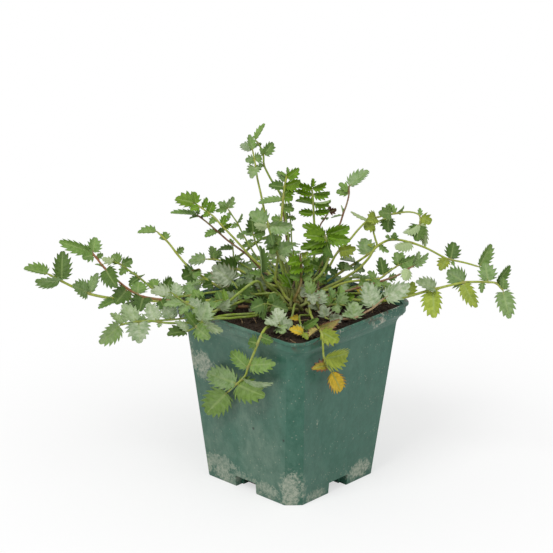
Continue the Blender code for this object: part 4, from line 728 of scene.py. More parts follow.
      (2.6, -8.5, 1.5, -2, 7, 25, "w"), (1.9, -0.5, 5, 1, 7, 10, "d"), (1.7, -3.5, 2.5, -1, 6, 20, "d")]),
    ("arching_leaf_10", "g", "y", 1.6,
     [(20, 10.5, -2), (28, 14, -3), (36, 15.4, -4), (43, 15.8, -5), (47.5, 16.8, -5), (51.5, 20, -5),
      (57, 23.8, -5)],
     [(7, 10.5, 4.5, 0, 7.5, 20, "g"), (7, -1.5, 6.5, 1, 6.5, 5, "g"), (6.8, 3, 8, 2, 6, 20, "g"),
      (5.4, -1.5, 9.5, 1, 7, 10, "d"), (5.8, 4, 3.5, 1, 2, 20, "g"), (4.4, -4, 4, 2, 5, 20, "g"),
      (4.6, -2, -4, -4, 5, 20, "g"), (1.9, 2, -5.5, -3, 6, 10, "w"), (3, 5, -2.5, -3, 7, 20, "g")]),
    ("arching_leaf_11", "y", "p", 1.4,
     [(20, 7, -10), (34, 11, -12), (46, 14.5, -13), (54.5, 17.4, -14), (59, 19.6, -14), (62.5, 22, -14),
      (65, 23.3, -14)],
     [(6, -2, -6, -3, 7, 5, "p"), (7, 3, 7.5, 1, 4.5, 30, "y"), (7, 8, 7, 1, 5, 30, "y"),
      (3.6, 5.5, 2.5, 1, 4.5, 20, "g"), (3.2, -4, -3.5, -2, 5, 10, "g"), (2.5, 1.5, -5.5, -4, 7, 10, "g")]),
    ("tall_leaf_01", "g", "g", 1.3,
     [(-6, 14, -1), (-13, 24, 0), (-18.2, 32.5, 1), (-20, 36.5, 1), (-21, 40, 1.5)],
     [(5, -0.5, 8.5, -1, 8, 10, "d"), (4.8, -6, 0.7, -2, 5, 30, "y"), (4.8, 6, 1.5, 2, 7, 25, "g"),
      (4, -3.5, -1.2, -3, 3, 70, "g")]),
    ("tall_leaf_02", "y", "y", 1.5,
     [(-2, 16, 1), (-6, 27, 2), (-9, 36, 3), (-12.5, 44, 3.5), (-15.2, 53, 4), (-17, 61, 5),
      (-19, 69.5, 6), (-20, 76, 6), (-20.8, 80, 6.5), (-21.7, 84.5, 7)],
     [(10, -6.3, 3, 3, 6.5, 30, "w"), (10, -2, 8, 1, 5, 30, "g"), (8.8, -4.5, -0.5, -2, 5.5, 10, "g"),
      (8.9, 3.5, 1.5, 2, 6.5, 0, "g"), (8, -2.5, -9, -3, 7, 10, "y"), (8.05, 3, -2, -2, 3, 20, "g")]),
    ("tall_leaf_03", "g", "g", 1.5,
     [(2, 16, 5), (-1, 30, 6), (-3, 44, 7), (-4.5, 54, 8), (-6.2, 60.2, 9), (-8.6, 64.5, 10),
      (-11, 67.8, 11), (-13.5, 72.2, 12), (-15.6, 76.8, 13), (-16, 82, 13), (-18.2, 87.4, 14),
      (-20.5, 90, 14)],
     [(12, 5, 8.5, 2, 5, -50, "g"), (11.2, -2.5, -2.5, 0, 3, 30, "g"), (11.4, 2, -1.5, 1, 2.5, 30, "g"),
      (10, 5, 6.5, 3, 6.5, 15, "g"), (10, -2.2, 4, -1, 4.5, 30, "g"), (9, -3, -1.5, -1, 3, 20, "g")]),
    ("tall_leaf_04", "b", "y", 1.7,
     [(-7.5, 8, -2), (-8.3, 14, -2), (-8, 24, -1), (-7.2, 34, 0), (-6.2, 45, 0), (-5.4, 54, 0),
      (-4.9, 61, 0), (-4.4, 65, 0), (-3.6, 69, 0), (-3.1, 72, 0)],
     [(10, 0.2, 3.5, 1, 2.5, 40, "g"), (9.2, 6.5, 5, 1, 6, 25, "b"), (9.4, -4, 2.5, 1, 3, 60, "g"),
      (8.6, -5, 6.5, 3, 4.5, 30, "y"), (8, -8, 0.5, -1, 6, 25, "d"), (8.1, 8, 3, 1, 8, 15, "b"),
      (7, 5, 4.5, 2, 7, 10, "b"), (6.55, -12, -2, 3, 5, 45, "y"), (6.8, 5, -0.5, 1, 6, 20, "b"),
      (6.7, -1.5, 3.5, 2, 3, 30, "w"), (6, 6, -1, 1, 5, 20, "g"), (5.2, -5, 1, 0, 5, 20, "g")]),
    ("tall_leaf_05", "g", "g", 1.0,
     [(3, 16, 9), (1, 28, 9.5), (-0.3, 36, 10), (-0.7, 43, 10), (-1.3, 49, 10), (-2, 54, 10)],
     [(6, 0.8, 2.5, 1, 3.5, 10, "g"), (5, 3, -1, -1, 3.5, 10, "g"), (5, -2.8, -1, 0, 2.8, 20, "g"),
      (4, 1.8, -1, 0, 2, 20, "g")]),
    ("tall_leaf_06", "g", "p", 1.0,
     [(1, 16, 12), (-1.5, 28, 13), (-3, 36, 13), (-4, 43, 13), (-4.7, 49, 13), (-4.8, 54, 13)],
     [(6, -1.8, 2.2, 1, 2.8, 20, "g"), (6, 1.6, 2, 1, 2.8, 20, "g"), (5.2, 2.2, 0.5, -1, 3.5, 10, "g"),
      (5.1, -1.8, 0.8, 0, 3, 20, "g"), (3.2, 2, 2.4, 0, 2.5, 20, "g")]),
    ("tall_leaf_07", "y", "g", 1.7,
     [(-3, 14, -6), (-6, 24, -8), (-8.5, 31, -9), (-10.5, 37, -10), (-12.3, 42, -11), (-13.5, 45, -11)],
     [(6, -9, 5, -2, 10.5, 20, "y"), (5.5, -8, 1, -4, 5, 60, "p"), (5.6, 12.5, 0.5, 2, 9, 25, "y"),
      (4.6, 2, -7, -3, 5, 20, "d"), (4.4, 0, -5.5, -4, 7, 10, "d"), (3.6, -0.5, -5.5, -4, 7, 15, "d"),
      (4.1, 5, 0, -2, 6, 20, "g"), (2.9, 8, 3.5, 2, 9, 10, "y"), (2.7, -5.5, 0, -4, 5, 50, "p"),
      (2.5, 4, -3, -4, 4, 45, "p")]),
    ("tall_leaf_08", "b", "g", 1.7,
     [(10, 10, 3), (11.5, 20, 4), (12, 30, 4), (12, 40, 4), (11.6, 47, 4), (11.2, 53, 4), (11, 57.5, 4),
      (10.6, 61.5, 4), (10, 64.5, 4)],
     [(5.7, 8, 1, 2, 7.5, 5, "b"), (5.6, -7.6, 0.8, 1, 7, 5, "b"), (6.8, 9, 1.5, 2, 8, 5, "b"),
      (6.6, -9, 1.8, 2, 8, 5, "b"), (7.9, 8.8, 1.2, 2, 8, 5, "b"), (7.7, -9, 2.6, 2, 8, 5, "b"),
      (8.9, 7.5, 3, 2, 8, 5, "b"), (8.6, -7.5, 2.5, 2, 8, 5, "b"), (9, 0.5, 5, 1, 5, 20, "b")]),
    ("tall_leaf_09", "g", "p", 1.2,
     [(10, 15, 8), (12, 30, 9), (14.5, 43.5, 10), (17, 48, 10), (19.3, 51.8, 10)],
     [(5, 4, 1.5, 0, 4, 20, "r"), (5, 0.8, 3, 1, 3, 10, "r"), (4, -1.8, 0.5, 0, 2, 20, "g"),
      (4.1, 2, 0.3, 0, 2, 20, "g")]),
    ("tall_leaf_10", "y", "p", 1.4,
     [(12, 14, 5), (17, 28, 7), (22, 38, 9), (25.5, 45.8, 10), (27, 50.8, 10), (28.7, 55.5, 10),
      (30, 61, 11), (30, 65.5, 11)],
     [(8, 10, 8.5, 3, 10, -40, "y"), (7.15, -6.5, 1, 1, 6, 20, "g"), (7.35, -5, 4.2, 2, 5.5, 30, "g"),
      (5, -1, 5, 1, 2.6, 30, "g"), (4.9, -6, -1.5, -1, 2.6, 50, "g")]),
    ("young_leaf_01", "b", "g", 2.0,
     [(8, 12.6, -7), (12, 15, -9), (16, 19, -10), (18.7, 24.5, -11), (19.6, 30, -12), (18.5, 36, -12),
      (17.5, 39.5, -12)],
     [(7, 12.5, 4, 2, 10, 10, "b"), (6.6, 12.5, -1, -2, 8, 20, "b"), (7, -11.5, 4.5, 1, 7, 20, "b"),
      (6.6, -12, 1, -2, 8, 15, "b"), (6.1, -9.5, -3, -4, 8, 10, "b"), (5.9, 3.5, -9, -5, 7, 40, "d"),
      (5.4, -14, 0, -1, 9, 15, "b"), (5, -12, -2, -4, 5, 40, "b")]),
    ("young_leaf_02", "g", "g", 1.5,
     [(-8, 8, -8), (-14, 14, -14), (-16.2, 18.5, -16)],
     [(3, -1, 14, 0, 8, 50, "d"), (2.8, -6, 1, -2, 6, 20, "g"), (2.4, 5, 2, 1, 6, 20, "g")]),
    ("young_leaf_03", "b", "m", 1.9,
     [(6.6, 4, -8), (6.2, 12, -10), (5.3, 20, -11), (4.7, 26, -12), (4.5, 29, -12)],
     [(5, 5, 1.5, -1, 6, 30, "v"), (4, -6.5, -2, -3, 8, 10, "b"), (3.4, -5, -3, -4, 8, 0, "b"),
      (3.6, 4.5, 3, -1, 6, 15, "b"), (3, 5.5, 3, 2, 7, 20, "b"), (2.4, 5, 4, 1, 7, 25, "g"),
      (2.5, -6, 1, -1, 7, 20, "g"), (3.5, -6, 1.5, -1, 8, 10, "b")]),
    ("young_leaf_04", "b", "g", 1.6,
     [(0.5, 8, -8), (-0.5, 11.5, -9)],
     [(2, -6, 6.5, -1, 5, 20, "b"), (2, -3.5, 8.5, -1, 5, 20, "b"), (1.6, -6.5, 3, -3, 5, 10, "b")]),
    ("rim_leaf_01", "w", "k", 1.5,
     [(20, -4, -20), (32, -5.4, -24), (38.5, -2.6, -23.5), (44, 1, -21), (49.5, 6, -20)],
     [(4, -4.5, 12.5, 2, 11, 15, "w"), (5, 12.5, 7.5, 1, 10, 20, "w"), (2.1, 1.5, 8.5, 2, 10, 0, "y"),
      (2.3, -9, 1.5, -2, 6, 40, "y")]),
    ("rim_leaf_02", "w", "g", 1.6,
     [(-3, -4, -24), (-5, -7.6, -37), (-6, -9.4, -44)],
     [(3, -8, 1.5, -3, 10, 20, "w"), (2.8, -1.5, 8.5, 2, 9, 10, "w"), (3, 6.2, 2.5, 1, 8, 10, "w"),
      (3, 2, -3.5, -5, 7, 0, "y")]),
    ("rim_leaf_03", "u", "g", 1.5,
     [(10, -4, -20), (16, -5.5, -28), (20, -5.5, -32)],
     [(3, 7, 1.5, -1, 7, 25, "u"), (2.5, -2, 6, 2, 8, 10, "u"), (1.8, -6, 2, 1, 6, 10, "u"),
      (1, -4.5, -3.5, -4, 8, 10, "u"), (1.2, 1, -6, -8, 8, 5, "u"), (1.6, 3, 7, 1, 8, 10, "w"),
      (1.3, -4, 6.5, 1, 8, 10, "g")]),
    ("rim_leaf_04", "y", "g", 1.5,
     [(12, 1, -12), (22, 2, -17), (29, 2, -20)],
     [(3, 6, 1, -2, 6, 20, "y"), (2.5, 3, 6, 2, 7, 10, "y"), (1.9, -3, 5, 1, 6, 10, "g"),
      (2.2, 2, -4, -4, 6, 10, "y")]),
    ("rim_leaf_05", "y", "g", 1.5,
     [(-14, 3, -11), (-25.5, 5.5, -15), (-28.5, 9.8, -16), (-31, 14, -14)],
     [(4, -10.5, 8, -1, 12, -10, "u"), (3.3, 8, 3.5, 1, 8, 15, "w"), (2.4, 6, 5, -2, 8, 10, "d"),
      (2, 8.5, 1, -3, 9, 5, "d"), (1.6, -5, -3, -2, 7, 10, "g")]),
    ("rim_leaf_06", "g", "g", 1.5,
     [(-8, 1.5, -22), (-14, 2.5, -31)],
     [(2, -7, -2.5, -1, 9, 5, "d"), (2, -0.3, -8, -2, 8, 5, "d"), (1.5, 8.5, -2.5, -2, 8.5, 5, "d"),
      (1.1, -2, 6, 1, 8, 10, "d")]),
    ("rim_leaf_07", "g", "g", 1.5,
     [(-16, 5, -8), (-27, 5.5, -12), (-37, 4, -16), (-45, 2, -20)],
     [(4, -9, -1, -3, 9, 10, "d"), (3.3, -3, -6.5, -5, 8, 10, "g"), (3.1, -2, 4.5, 3, 6, 15, "d"),
      (2.3, -2, -6, -6, 7, 5, "d"), (2.1, 1, 6.5, 1, 7, 10, "g"), (1.4, -1, -5.5, -5, 6, 10, "u"),
      (1.2, 3, 5.5, 0, 6, 20, "d")]),
    ("rim_leaf_08", "g", "g", 1.5,
     [(14, 6, -2), (25, 8, -1), (35, 8.5, 0), (42, 8, 1)],
     [(4, 7, -1, 1, 6, 10, "d"), (3.3, 2, -6, -3, 7, 10, "g"), (3.1, 1, 5, 2, 5, 20, "o"),
      (2.3, -1, -6, -5, 7, 10, "d"), (2.2, 2, 5.5, 1, 6, 20, "g"), (1.4, -2, -5, -4, 6, 10, "g"),
      (1.2, -1, 5.5, 1, 6, 20, "d")]),
    ("hanging_leaf_01", "g", "y", 1.8,
     [(-7, -6, -27), (-11, -9.2, -41), (-13.6, -11, -48.5), (-16.2, -15.8, -51), (-19.5, -24, -43.5),
      (-22.7, -32, -35), (-24.3, -36.5, -31), (-28.5, -40.5, -25), (-33.5, -45, -18)],
     [(4.4, -4.5, 1, 4, 8, 20, "d"), (3.9, 6, -2, -5, 5.5, 15, "d"), (6, -9, 7.5, 7, 7.5, 0, "g"),
      (5.8, 13, 2, -14.5, 8.5, 0, "g"), (8, -15.5, 4.5, 14, 12, 5, "y"),
      (8.05, 14, -5.5, -13, 13, 0, "g"), (7.4, 16, -1.5, -16, 5, 50, "w"),
      (9, -11.5, -11.5, 15, 14, 0, "g")]),
    ("hanging_leaf_02", "v", "y", 1.5,
     [(11, -5, -24), (14, -9, -37), (15, -10.3, -46), (17, -14, -55), (17.5, -20, -54), (17.8, -25, -50),
      (19, -29.5, -45), (22, -33.5, -40)],
     [(6.3, 12, 1.5, 12, 12, 0, "v"), (7.2, -7.5, -1, -8.5, 6, 10, "n"), (8, 5.5, -9.5, 9, 10, 0, "o"),
      (3.2, -5, -3.5, -4, 6, 20, "e"), (4.3, 2.5, -3, -1, 4, 10, "v"), (2.9, 10.5, 3.5, 4, 6, 35, "e"),
      (3.5, 9, -5, 3, 9, 0, "v")]),
    ("young_leaf_05", "g", "g", 1.5,
     [(11, 9, 8), (12, 15, 13), (14, 21.5, 16)],
     [(3, 2, 6, 2, 7, 20, "d"), (2.8, -5, 3.5, 1, 6, 20, "d"), (2.9, 7, 1, -1, 7, 20, "d"),
      (2.2, 6, -2, -2, 6, 20, "d"), (2.1, -5, -1, 0, 6, 20, "d")]),
    ("young_leaf_06", "b", "g", 1.5,
     [(13, 2.5, -11), (22, 5, -15), (27, 6, -17)],
     [(3, 6, 1.5, -2, 7, 15, "b"), (2.6, 1, 6.5, 2, 6, 20, "g"), (2, -1.5, 6, 2, 6, 20, "y"),
      (2.2, 3, -4.5, -3, 6, 10, "g"), (2, -1.5, 5, 1, 5, 20, "o"), (3, 5.5, 3, -1, 5, 20, "o")]),
    ("young_leaf_07", "b", "g", 1.5,
     [(9, 10, 0), (13, 18, 1), (16, 25, 1)],
     [(3, 3, 6.5, 1, 7, 15, "g"), (2.6, -6, 2.5, 0, 7, 20, "g"), (2.5, 6, 0.5, 0, 7, 20, "d"),
      (1.9, -5, 0, -1, 6, 20, "g"), (1.8, 6, -0.5, -1, 6, 20, "g")]),
    ("old_leaf_01", "o", "g", 1.4,
     [(4.5, -5.6, -25), (6, -10.3, -39), (7, -13, -46)],
     [(3, -7, 2, 0, 5.5, 20, "o"), (2.7, -3.5, 3, 2, 4, 20, "w"), (3, 5.5, 1.5, 3, 6, 20, "w"),
      (3, 2, -3, -4, 4, 0, "v"), (2, 9.5, 2, 1, 5, 30, "g"), (1.2, -5.5, -0.5, -3, 3.5, 10, "o")]),
    ("back_leaf_01", "g", "g", 1.7,
     [(-14, 12, 17), (-28, 19, 33), (-40, 18.5, 50), (-50, 12, 65), (-56, 3.5, 76)],
     []),
    ("back_leaf_02", "y", "g", 1.7,
     [(-9, 15, 22), (-16, 21, 39), (-23, 22, 56), (-28, 16.5, 71), (-31, 6, 83)],
     []),
    ("back_leaf_03", "g", "g", 1.8,
     [(0, 19, 23), (-2, 29, 41), (-4, 34, 58), (-6, 33.5, 77), (-7, 26, 92), (-8, 16, 105)],
     []),
    ("back_leaf_04", "g", "g", 1.7,
     [(7, 16, 22), (9, 24.5, 40), (11, 26, 56), (13, 22, 71), (14, 13, 82), (15, 3, 92)],
     []),
    ("back_leaf_05", "y", "g", 1.7,
     [(20, 12.5, 15), (32, 16, 28), (42, 15.5, 41), (48, 10, 52), (50, 1, 62)],
     []),
    ("back_leaf_06", "g", "g", 1.6,
     [(22, 8, 7), (36, 11.5, 15), (46, 13, 26), (50, 10.5, 38), (51, 3, 49)],
     []),
    ("back_leaf_07", "y", "g", 1.6,
     [(-20, 9, 9), (-36, 14.5, 18), (-48, 15, 28), (-56, 10, 37), (-60, 1.5, 46)],
     []),
    ("back_leaf_08", "g", "g", 1.6,
     [(-6, 15, 27), (-10, 22.5, 43), (-15, 26, 61), (-19, 23, 77), (-22, 15, 90)],
     []),
]


def crownPlaces():
    # the stalks of a ring keep the order of their headings, so none cross
    centre = crownAxis()
    starts = {}
    for ring, radius in growth["rings"].items():
        headed = []
        for name, _, _, stalk, route, _ in leafTable:
            if growth["kinds"][name.split("_")[0]] == ring:
                way = placeOnSheet(*route[0]) - centre
                headed.append((math.atan2(way.y, way.x), name, stalk))
        headed.sort()
        step = math.tau / len(headed)
        shift = sum(angle - i * step for i, (angle, _, _) in enumerate(headed)) / len(headed)
        for i, (_, name, stalk) in enumerate(headed):
            angle = i * step + shift
            z = rootSurface(radius) + stalk / 2 + sheet["gap"] + 0.3
            x, y = centre.x + radius * math.cos(angle), centre.y + radius * math.sin(angle)
            starts[name] = Vector((x, y, z))
    return starts


def along(points, at):
    # a smooth route through the points, at a place counted in points
    i = max(0, min(int(at), len(points) - 2))
    t = at - i
    b, c = points[i], points[i + 1]
    a = points[i - 1] if i > 0 else b * 2 - c
    d = points[i + 2] if i + 2 < len(points) else c * 2 - b
    cubic = (b * 3 - c * 3 + d - a) * t ** 3
    return (b * 2 + (c - a) * t + (a * 2 - b * 5 + c * 4 - d) * t ** 2 + cubic) * 0.5


def groundAt(x, y, z, room):
    # how low a stalk or leaflet may lie over the pot, the soil and the crown
    out = max(abs(x), abs(y))
    slope = (pot["wallTopHalf"] - pot["baseHalf"]) / pot["wallTop"]
    wall = pot["lipHalf"] if z > pot["wallTop"] else pot["baseHalf"] + slope * z
    if out > wall + room:
        return 0.0
    axis = crownAxis()
    over = rootSurface(math.hypot(x - axis.x, y - axis.y)) if out < pot["mouthHalf"] - 2 else pot["height"]
    return over + room


def nudge(points, at, push):
    i = min(int(at), len(points) - 2)
    points[i + 1] += push * (at - i)
    if i > 0:
        points[i] += push * (1 - at + i)


def spreadRoutes(routes, stalks):
    # moves the stalks a little at a time, from the crown out, until each has room
    reach, gap = growth["stalkReach"], sheet["gap"]
    for _ in range(growth["spreadRounds"]):
        samples = []
        for name, points in routes.items():
            for i in range(len(points) - 1):
                steps = math.ceil((points[i + 1] - points[i]).length / growth["spreadStep"])
                ats = [i + step / steps for step in range(1, steps + 1)]
                samples += [(name, at, along(points, at)) for at in ats]
        near = KDTree(len(samples))
        for i, (_, _, point) in enumerate(samples):
            near.insert(point, i)
        near.balance()
        crowded = False
        for i, (name, at, point) in enumerate(samples):
            least = groundAt(point.x, point.y, point.z, stalks[name] * reach + 2 * gap)
            if point.z < least:
                nudge(routes[name], at, Vector((0, 0, least - point.z)))
            for otherPoint, j, distance in near.find_range(point, 4):
                other = samples[j][0]
                short = (stalks[name] + stalks[other]) * reach + gap - distance
                if j > i and other != name and short > 0:
                    push = (point - otherPoint).normalized() * (short / 2)
                    nudge(routes[name], at, push)
                    nudge(routes[other], samples[j][1], -push)
                    crowded = True
        if not crowded:
            return


def headingAt(points, at):
    last = len(points) - 1
    return along(points, min(last, at + 0.02)) - along(points, max(0, at - 0.02))


def pairedLeaflets(points, tone):
    last = len(points) - 1
    short, long = growth["pairedBlade"]
    made = []
    for pair in range(growth["pairs"]):
        share = pair / (growth["pairs"] - 1)
        at = last * (growth["pairedFrom"] + (0.93 - growth["pairedFrom"]) * share)
        length = short + (long - short) * share
        forward = headingAt(points, at).normalized()
        side = forward.cross(Vector((0, 0, 1))).normalized()
        for hand in (-1, 1):
            way = (side * hand + forward * 0.45 + Vector((0, 0, 0.12 - 0.5 * share))).normalized()
            made.append((at, way * length, length * growth["pairedWidth"], 0, Vector((0, 0, 1)), tone))
    end = headingAt(points, last).normalized()
    made.append((last, end * long, long * growth["pairedWidth"], 0, Vector((0, 0, 1)), tone))
    return made


def posedLeaflet(wanted, turn, swing, size):
    # after a turn about its length, swings about its two other axes, and a change of size
    at, way, width, ownTurn, facing, tone = wanted
    forward = way.normalized()
    side = forward.cross(facing)
    side = side.normalized() if side.length > 0.05 else forward.cross(Vector((0, 0, 1))).normalized()
    normal = side.cross(forward)
    tip = Matrix.Rotation(math.radians(swing[0]), 3, side)
    tip @= Matrix.Rotation(math.radians(swing[1]), 3, normal)
    forward = tip @ forward
    roll = Matrix.Rotation(math.radians(ownTurn + turn), 3, forward)
    side = (roll @ (tip @ side)).normalized()
    return at, forward * way.length * size, width * size, side, tone


def leafletSections(base, way, width, side, swell):
    normal = way.normalized().cross(side)
    thick = (growth["bladeThick"] / 2 + swell) * normal
    shares = [(0.5, width), (1.0, width * 0.4)]
    if way.length >= growth["smallBlade"]:
        shares.insert(0, (0.16, growth["petiolule"]))
    sections = []
    for share, wide in shares:
        centre = base + way * share
        arm = side * (wide / 2 + swell)
        corners = ((arm, thick), (-arm, thick), (-arm, -thick), (arm, -thick))
        sections.append([centre + out + lift for out, lift in corners])
    return sections


def treeOf(sections):
    # a search tree of the body through four-cornered sections
    points = [point for section in sections for point in section]
    faces = [(3, 2, 1, 0), tuple(range(len(points) - 4, len(points)))]
    for start in range(0, len(points) - 4, 4):
        for i in range(4):
            j = (i + 1) % 4
            faces.append((start + i, start + j, start + 4 + j, start + 4 + i))
    return BVHTree.FromPolygons(points, faces)


def partTree(name):
    mesh = frame["nodes"][name].data
    return BVHTree.FromPolygons(
        [vert.co * 1000 for vert in mesh.vertices], [tuple(face.vertices) for face in mesh.polygons])


def stalkHalf(stalk, at, last):
    return max(growth["stalkLeast"], stalk * (1 - (1 - growth["stalkTaper"]) * at / last)) / 2


def stalkSections(points, stalk):
    side = headingAt(points, 0).cross(Vector((0, 0, 1)))
    side = side if side.length > 1e-3 else Vector((1, 0, 0))
    last = len(points) - 1
    sections = []
    for step in range(3 * last + 1):
        at = step / 3
        forward = headingAt(points, at).normalized()
        side = (side - forward * side.dot(forward)).normalized()
        up = side.cross(forward)
        half = stalkHalf(stalk, at, last)
        centre = along(points, at)
        corners = ((1, 1), (-1, 1), (-1, -1), (1, -1))
        sections.append([centre + (side * a + up * b) * half for a, b in corners])
    return sections


def settleLeaflets(points, leaflets, stalk, obstacles, own):
    # each leaflet in the first pose that is clear of everything placed so far
    gap = sheet["gap"]
    placed = []
    for wanted in leaflets:
        base = along(points, wanted[0])
        for size, swing, turn in itertools.product(growth["sizes"], growth["swings"], growth["turns"]):
            at, way, width, side, tone = posedLeaflet(wanted, turn, swing, size)
            root = base + way.normalized() * (stalk * 0.5 + 0.5)
            sections = leafletSections(root, way - (root - base), width, side, gap)
            corners = [point for section in sections for point in section]
            if any(point.z <= groundAt(point.x, point.y, point.z, gap) for point in corners):
                continue
            arm, lift = side * gap, way.normalized().cross(side) * gap
            first = [root + arm + lift, root - arm + lift, root - arm - lift, root + arm - lift]
            tree = treeOf([first] + sections)
            if any(tree.overlap(other) for other in obstacles + own):
                continue
            own.append(tree)
            placed.append((at, way, width, side, tone))
            break
    return placed


# Leaflets

leaflet = {
    # half of the edge, from the foot to the tip
    "outline": [(0.08, 0.0), (0.32, -0.04), (0.64, -0.03), (0.88, 0.05), (1.0, 0.16), (1.05, 0.29),
                (1.05, 0.44), (1.0, 0.58), (0.90, 0.71), (0.74, 0.83), (0.52, 0.93), (0.27, 0.985),
                (0.06, 1.0)],
    "aspect": 0.72, "toothDepth": 0.38, "toothRise": 0.74, "toothLead": 0.05, "ribRise": 1.9,
    "thickness": 0.26, "pleat": 0.010, "fullness": 1.1, "reach": 1.06, "droop": 12,
    "teethOnMap": 8, "seenFromBelow": "p",
    # teeth on a side, rows of faces in a tooth, columns, and how much deeper the teeth are cut
    "sizes": {"large": (7, 4, 6, 1.0), "medium": (5, 3, 6, 1.2), "small": (3, 3, 4, 1.6)},
    "large": 11.5, "medium": 7.0,  # the least length of each
    # how far each half is folded up, in degrees
    "fold": {"low": 22, "arching": 26, "tall": 30, "young": 46, "rim": 20, "hanging": 18, "old": 30,
             "back": 24},
    "foldOf": {"tall_leaf_08": 60, "young_leaf_02": 62, "young_leaf_04": 50, "hanging_leaf_02": 34},
    "powder": (0.52, 0.57, 0.42, 1), "rib": (0.28, 0.37, 0.12, 1), "brown": (0.19, 0.080, 0.045, 1),
    # the underside's colour is paler as the real underside is, and lighter still as painted light shining
    # through the blade
    "paleLitUnderside": (0.35, 0.44, 0.23, 1), "underVein": (0.44, 0.50, 0.30, 1),
}

# colour, powdery bloom, browned edges
tones = {
    "g": ((0.150, 0.268, 0.042), 0.34, 0.0),  # green
    "y": ((0.180, 0.300, 0.080), 0.60, 0.0),  # greyed
    "w": ((0.215, 0.310, 0.135), 1.00, 0.06),  # whitened
    "d": ((0.078, 0.152, 0.018), 0.12, 0.0),  # dark
    "b": ((0.150, 0.275, 0.012), 0.06, 0.0),  # bright and young
    "v": ((0.330, 0.400, 0.045), 0.12, 0.10),  # yellow green
    # p is a pale underside, lighter still as painted light shining through the blade
    "p": ((0.360, 0.460, 0.190), 0.50, 0.0),  # pale underside
    "u": ((0.150, 0.190, 0.095), 0.90, 0.22),  # dull, with brown edges
    "r": ((0.095, 0.035, 0.018), 0.05, 0.30),  # withered to a red brown
    "o": ((0.560, 0.400, 0.030), 0.05, 0.30),  # yellow
    "n": ((0.400, 0.330, 0.040), 0.05, 0.60),  # yellow going brown
    "e": ((0.500, 0.400, 0.130), 0.15, 0.42),  # faded buff
}
stalkTints = {
    "g": (0.235, 0.330, 0.038),  # green
    "y": (0.370, 0.440, 0.062),  # yellow green
    "p": (0.210, 0.090, 0.045),  # purple brown
    "m": (0.225, 0.170, 0.045),  # between green and brown
    "r": (0.330, 0.140, 0.062),  # red
    "k": (0.390, 0.250, 0.150),  # dry pink
}
stalkLook = {
    "sides": 8, "stepLength": 1.7, "joint": 1.6, "down": 0.25,
    # hollow is a painted shade colour: the low places of the stalk's streaky bump are darkened towards it
    "foot": (0.19, 0.20, 0.07), "hollow": (0.50, 0.50, 0.36, 1), "red": (0.17, 0.055, 0.035, 1),
    "powder": (0.40, 0.44, 0.22, 1),
}


def outlinePoint(share):
    # a point of the leaflet's edge, evenly along it from base to tip, one half wide and one long
    outline = [Vector((x * leaflet["aspect"] / 2, y)) for x, y in leaflet["outline"]]
    lengths = [(b - a).length for a, b in zip(outline, outline[1:])]
    left = share * sum(lengths)
    for a, b, length in zip(outline, outline[1:], lengths):
        if left <= length:
            return a.lerp(b, left / length)
        left -= length
    return outline[-1]


def makeLeafletShape(teeth, rowsPerTooth, columns, deepness):
    # a flat toothed leaflet whose rows run out along its side veins
    rows = 2 + teeth * rowsPerTooth
    bm = bmesh.new()
    bmesh.ops.create_grid(bm, x_segments=columns, y_segments=rows, size=1)
    bmesh.ops.solidify(bm, geom=bm.faces[:], thickness=0.1)
    uv = bm.loops.layers.uv.new("leafUv")
    bm.verts.index_update()
    points = []
    for vert in bm.verts:
        isTop = vert.co.z > -0.05
        row = round((vert.co.y + 1) / 2 * rows)
        toothPlace = max(0.0, (row - 2) / rowsPerTooth)
        phase = toothPlace % 1
        edge = outlinePoint(row / rows)
        rib = Vector((0, 0.985 * (row / rows) ** leaflet["ribRise"]))
        vein = edge - rib
        shape = min(1.0, phase / leaflet["toothRise"]) if 2 <= row < rows else 1.0
        deepest = leaflet["toothDepth"] * deepness * leaflet["aspect"] / 2
        depth = min(deepest, 0.5 * vein.length) * (1 - shape)
        reach = abs(vert.co.x)
        nearEdge = max(0.0, (reach - 0.5) / 0.5) ** 1.5
        point = rib + vein * reach * (1 - depth * nearEdge / max(vein.length, 1e-6))
        if 2 <= row < rows:
            ahead = outlinePoint(min(1.0, row / rows + 0.01)) - outlinePoint(row / rows - 0.01)
            point += ahead.normalized() * (leaflet["toothLead"] * deepness * (shape - 0.3) * nearEdge)
        x = math.copysign(point.x, vert.co.x)
        pleat = -math.cos(math.tau * (phase - 0.7)) if 1 < row < rows else 0.0
        fade = min(1.0, reach * 2.2) * min(1.0, 3.2 * (1 - row / rows) + 0.15)
        points.append((x, point.y, pleat * fade, isTop))
        vert.tag = isTop
        for loop in vert.link_loops:
            upwards = (toothPlace if row < rows else teeth) / leaflet["teethOnMap"]
            loop[uv].uv = (vert.co.x * 0.5 + 0.5, upwards)
    for vert, (x, y, _, isTop) in zip(bm.verts, points):
        vert.co = Vector((x, y, 0.0 if isTop else -0.02))
    bmesh.ops.recalc_face_normals(bm, faces=bm.faces)
    mesh = bpy.data.meshes.new("leafletShape")
    bm.to_mesh(mesh)
    bm.free()
    return mesh, points


def veinMasks(group, across, upwards):
    # how far from the midrib, the midrib, and the side veins, each of which runs out to a tooth
    fromRib = work(group, "ABSOLUTE", work(group, "MULTIPLY_ADD", across, 2.0, -1.0))
    rib = ramp(group, fromRib, 0.03, 0.13, 1.0, 0.0)
    tooth = work(group, "FRACT", work(group, "MULTIPLY_ADD", upwards, leaflet["teethOnMap"], 0.80))
    tooth = work(group, "ABSOLUTE", work(group, "SUBTRACT", tooth, 0.5))
    veins = ramp(group, tooth, 0.05, 0.17, 1.0, 0.0)
    return fromRib, rib, work(group, "MULTIPLY", veins, ramp(group, fromRib, 0.75, 1.0, 1.0, 0.2))


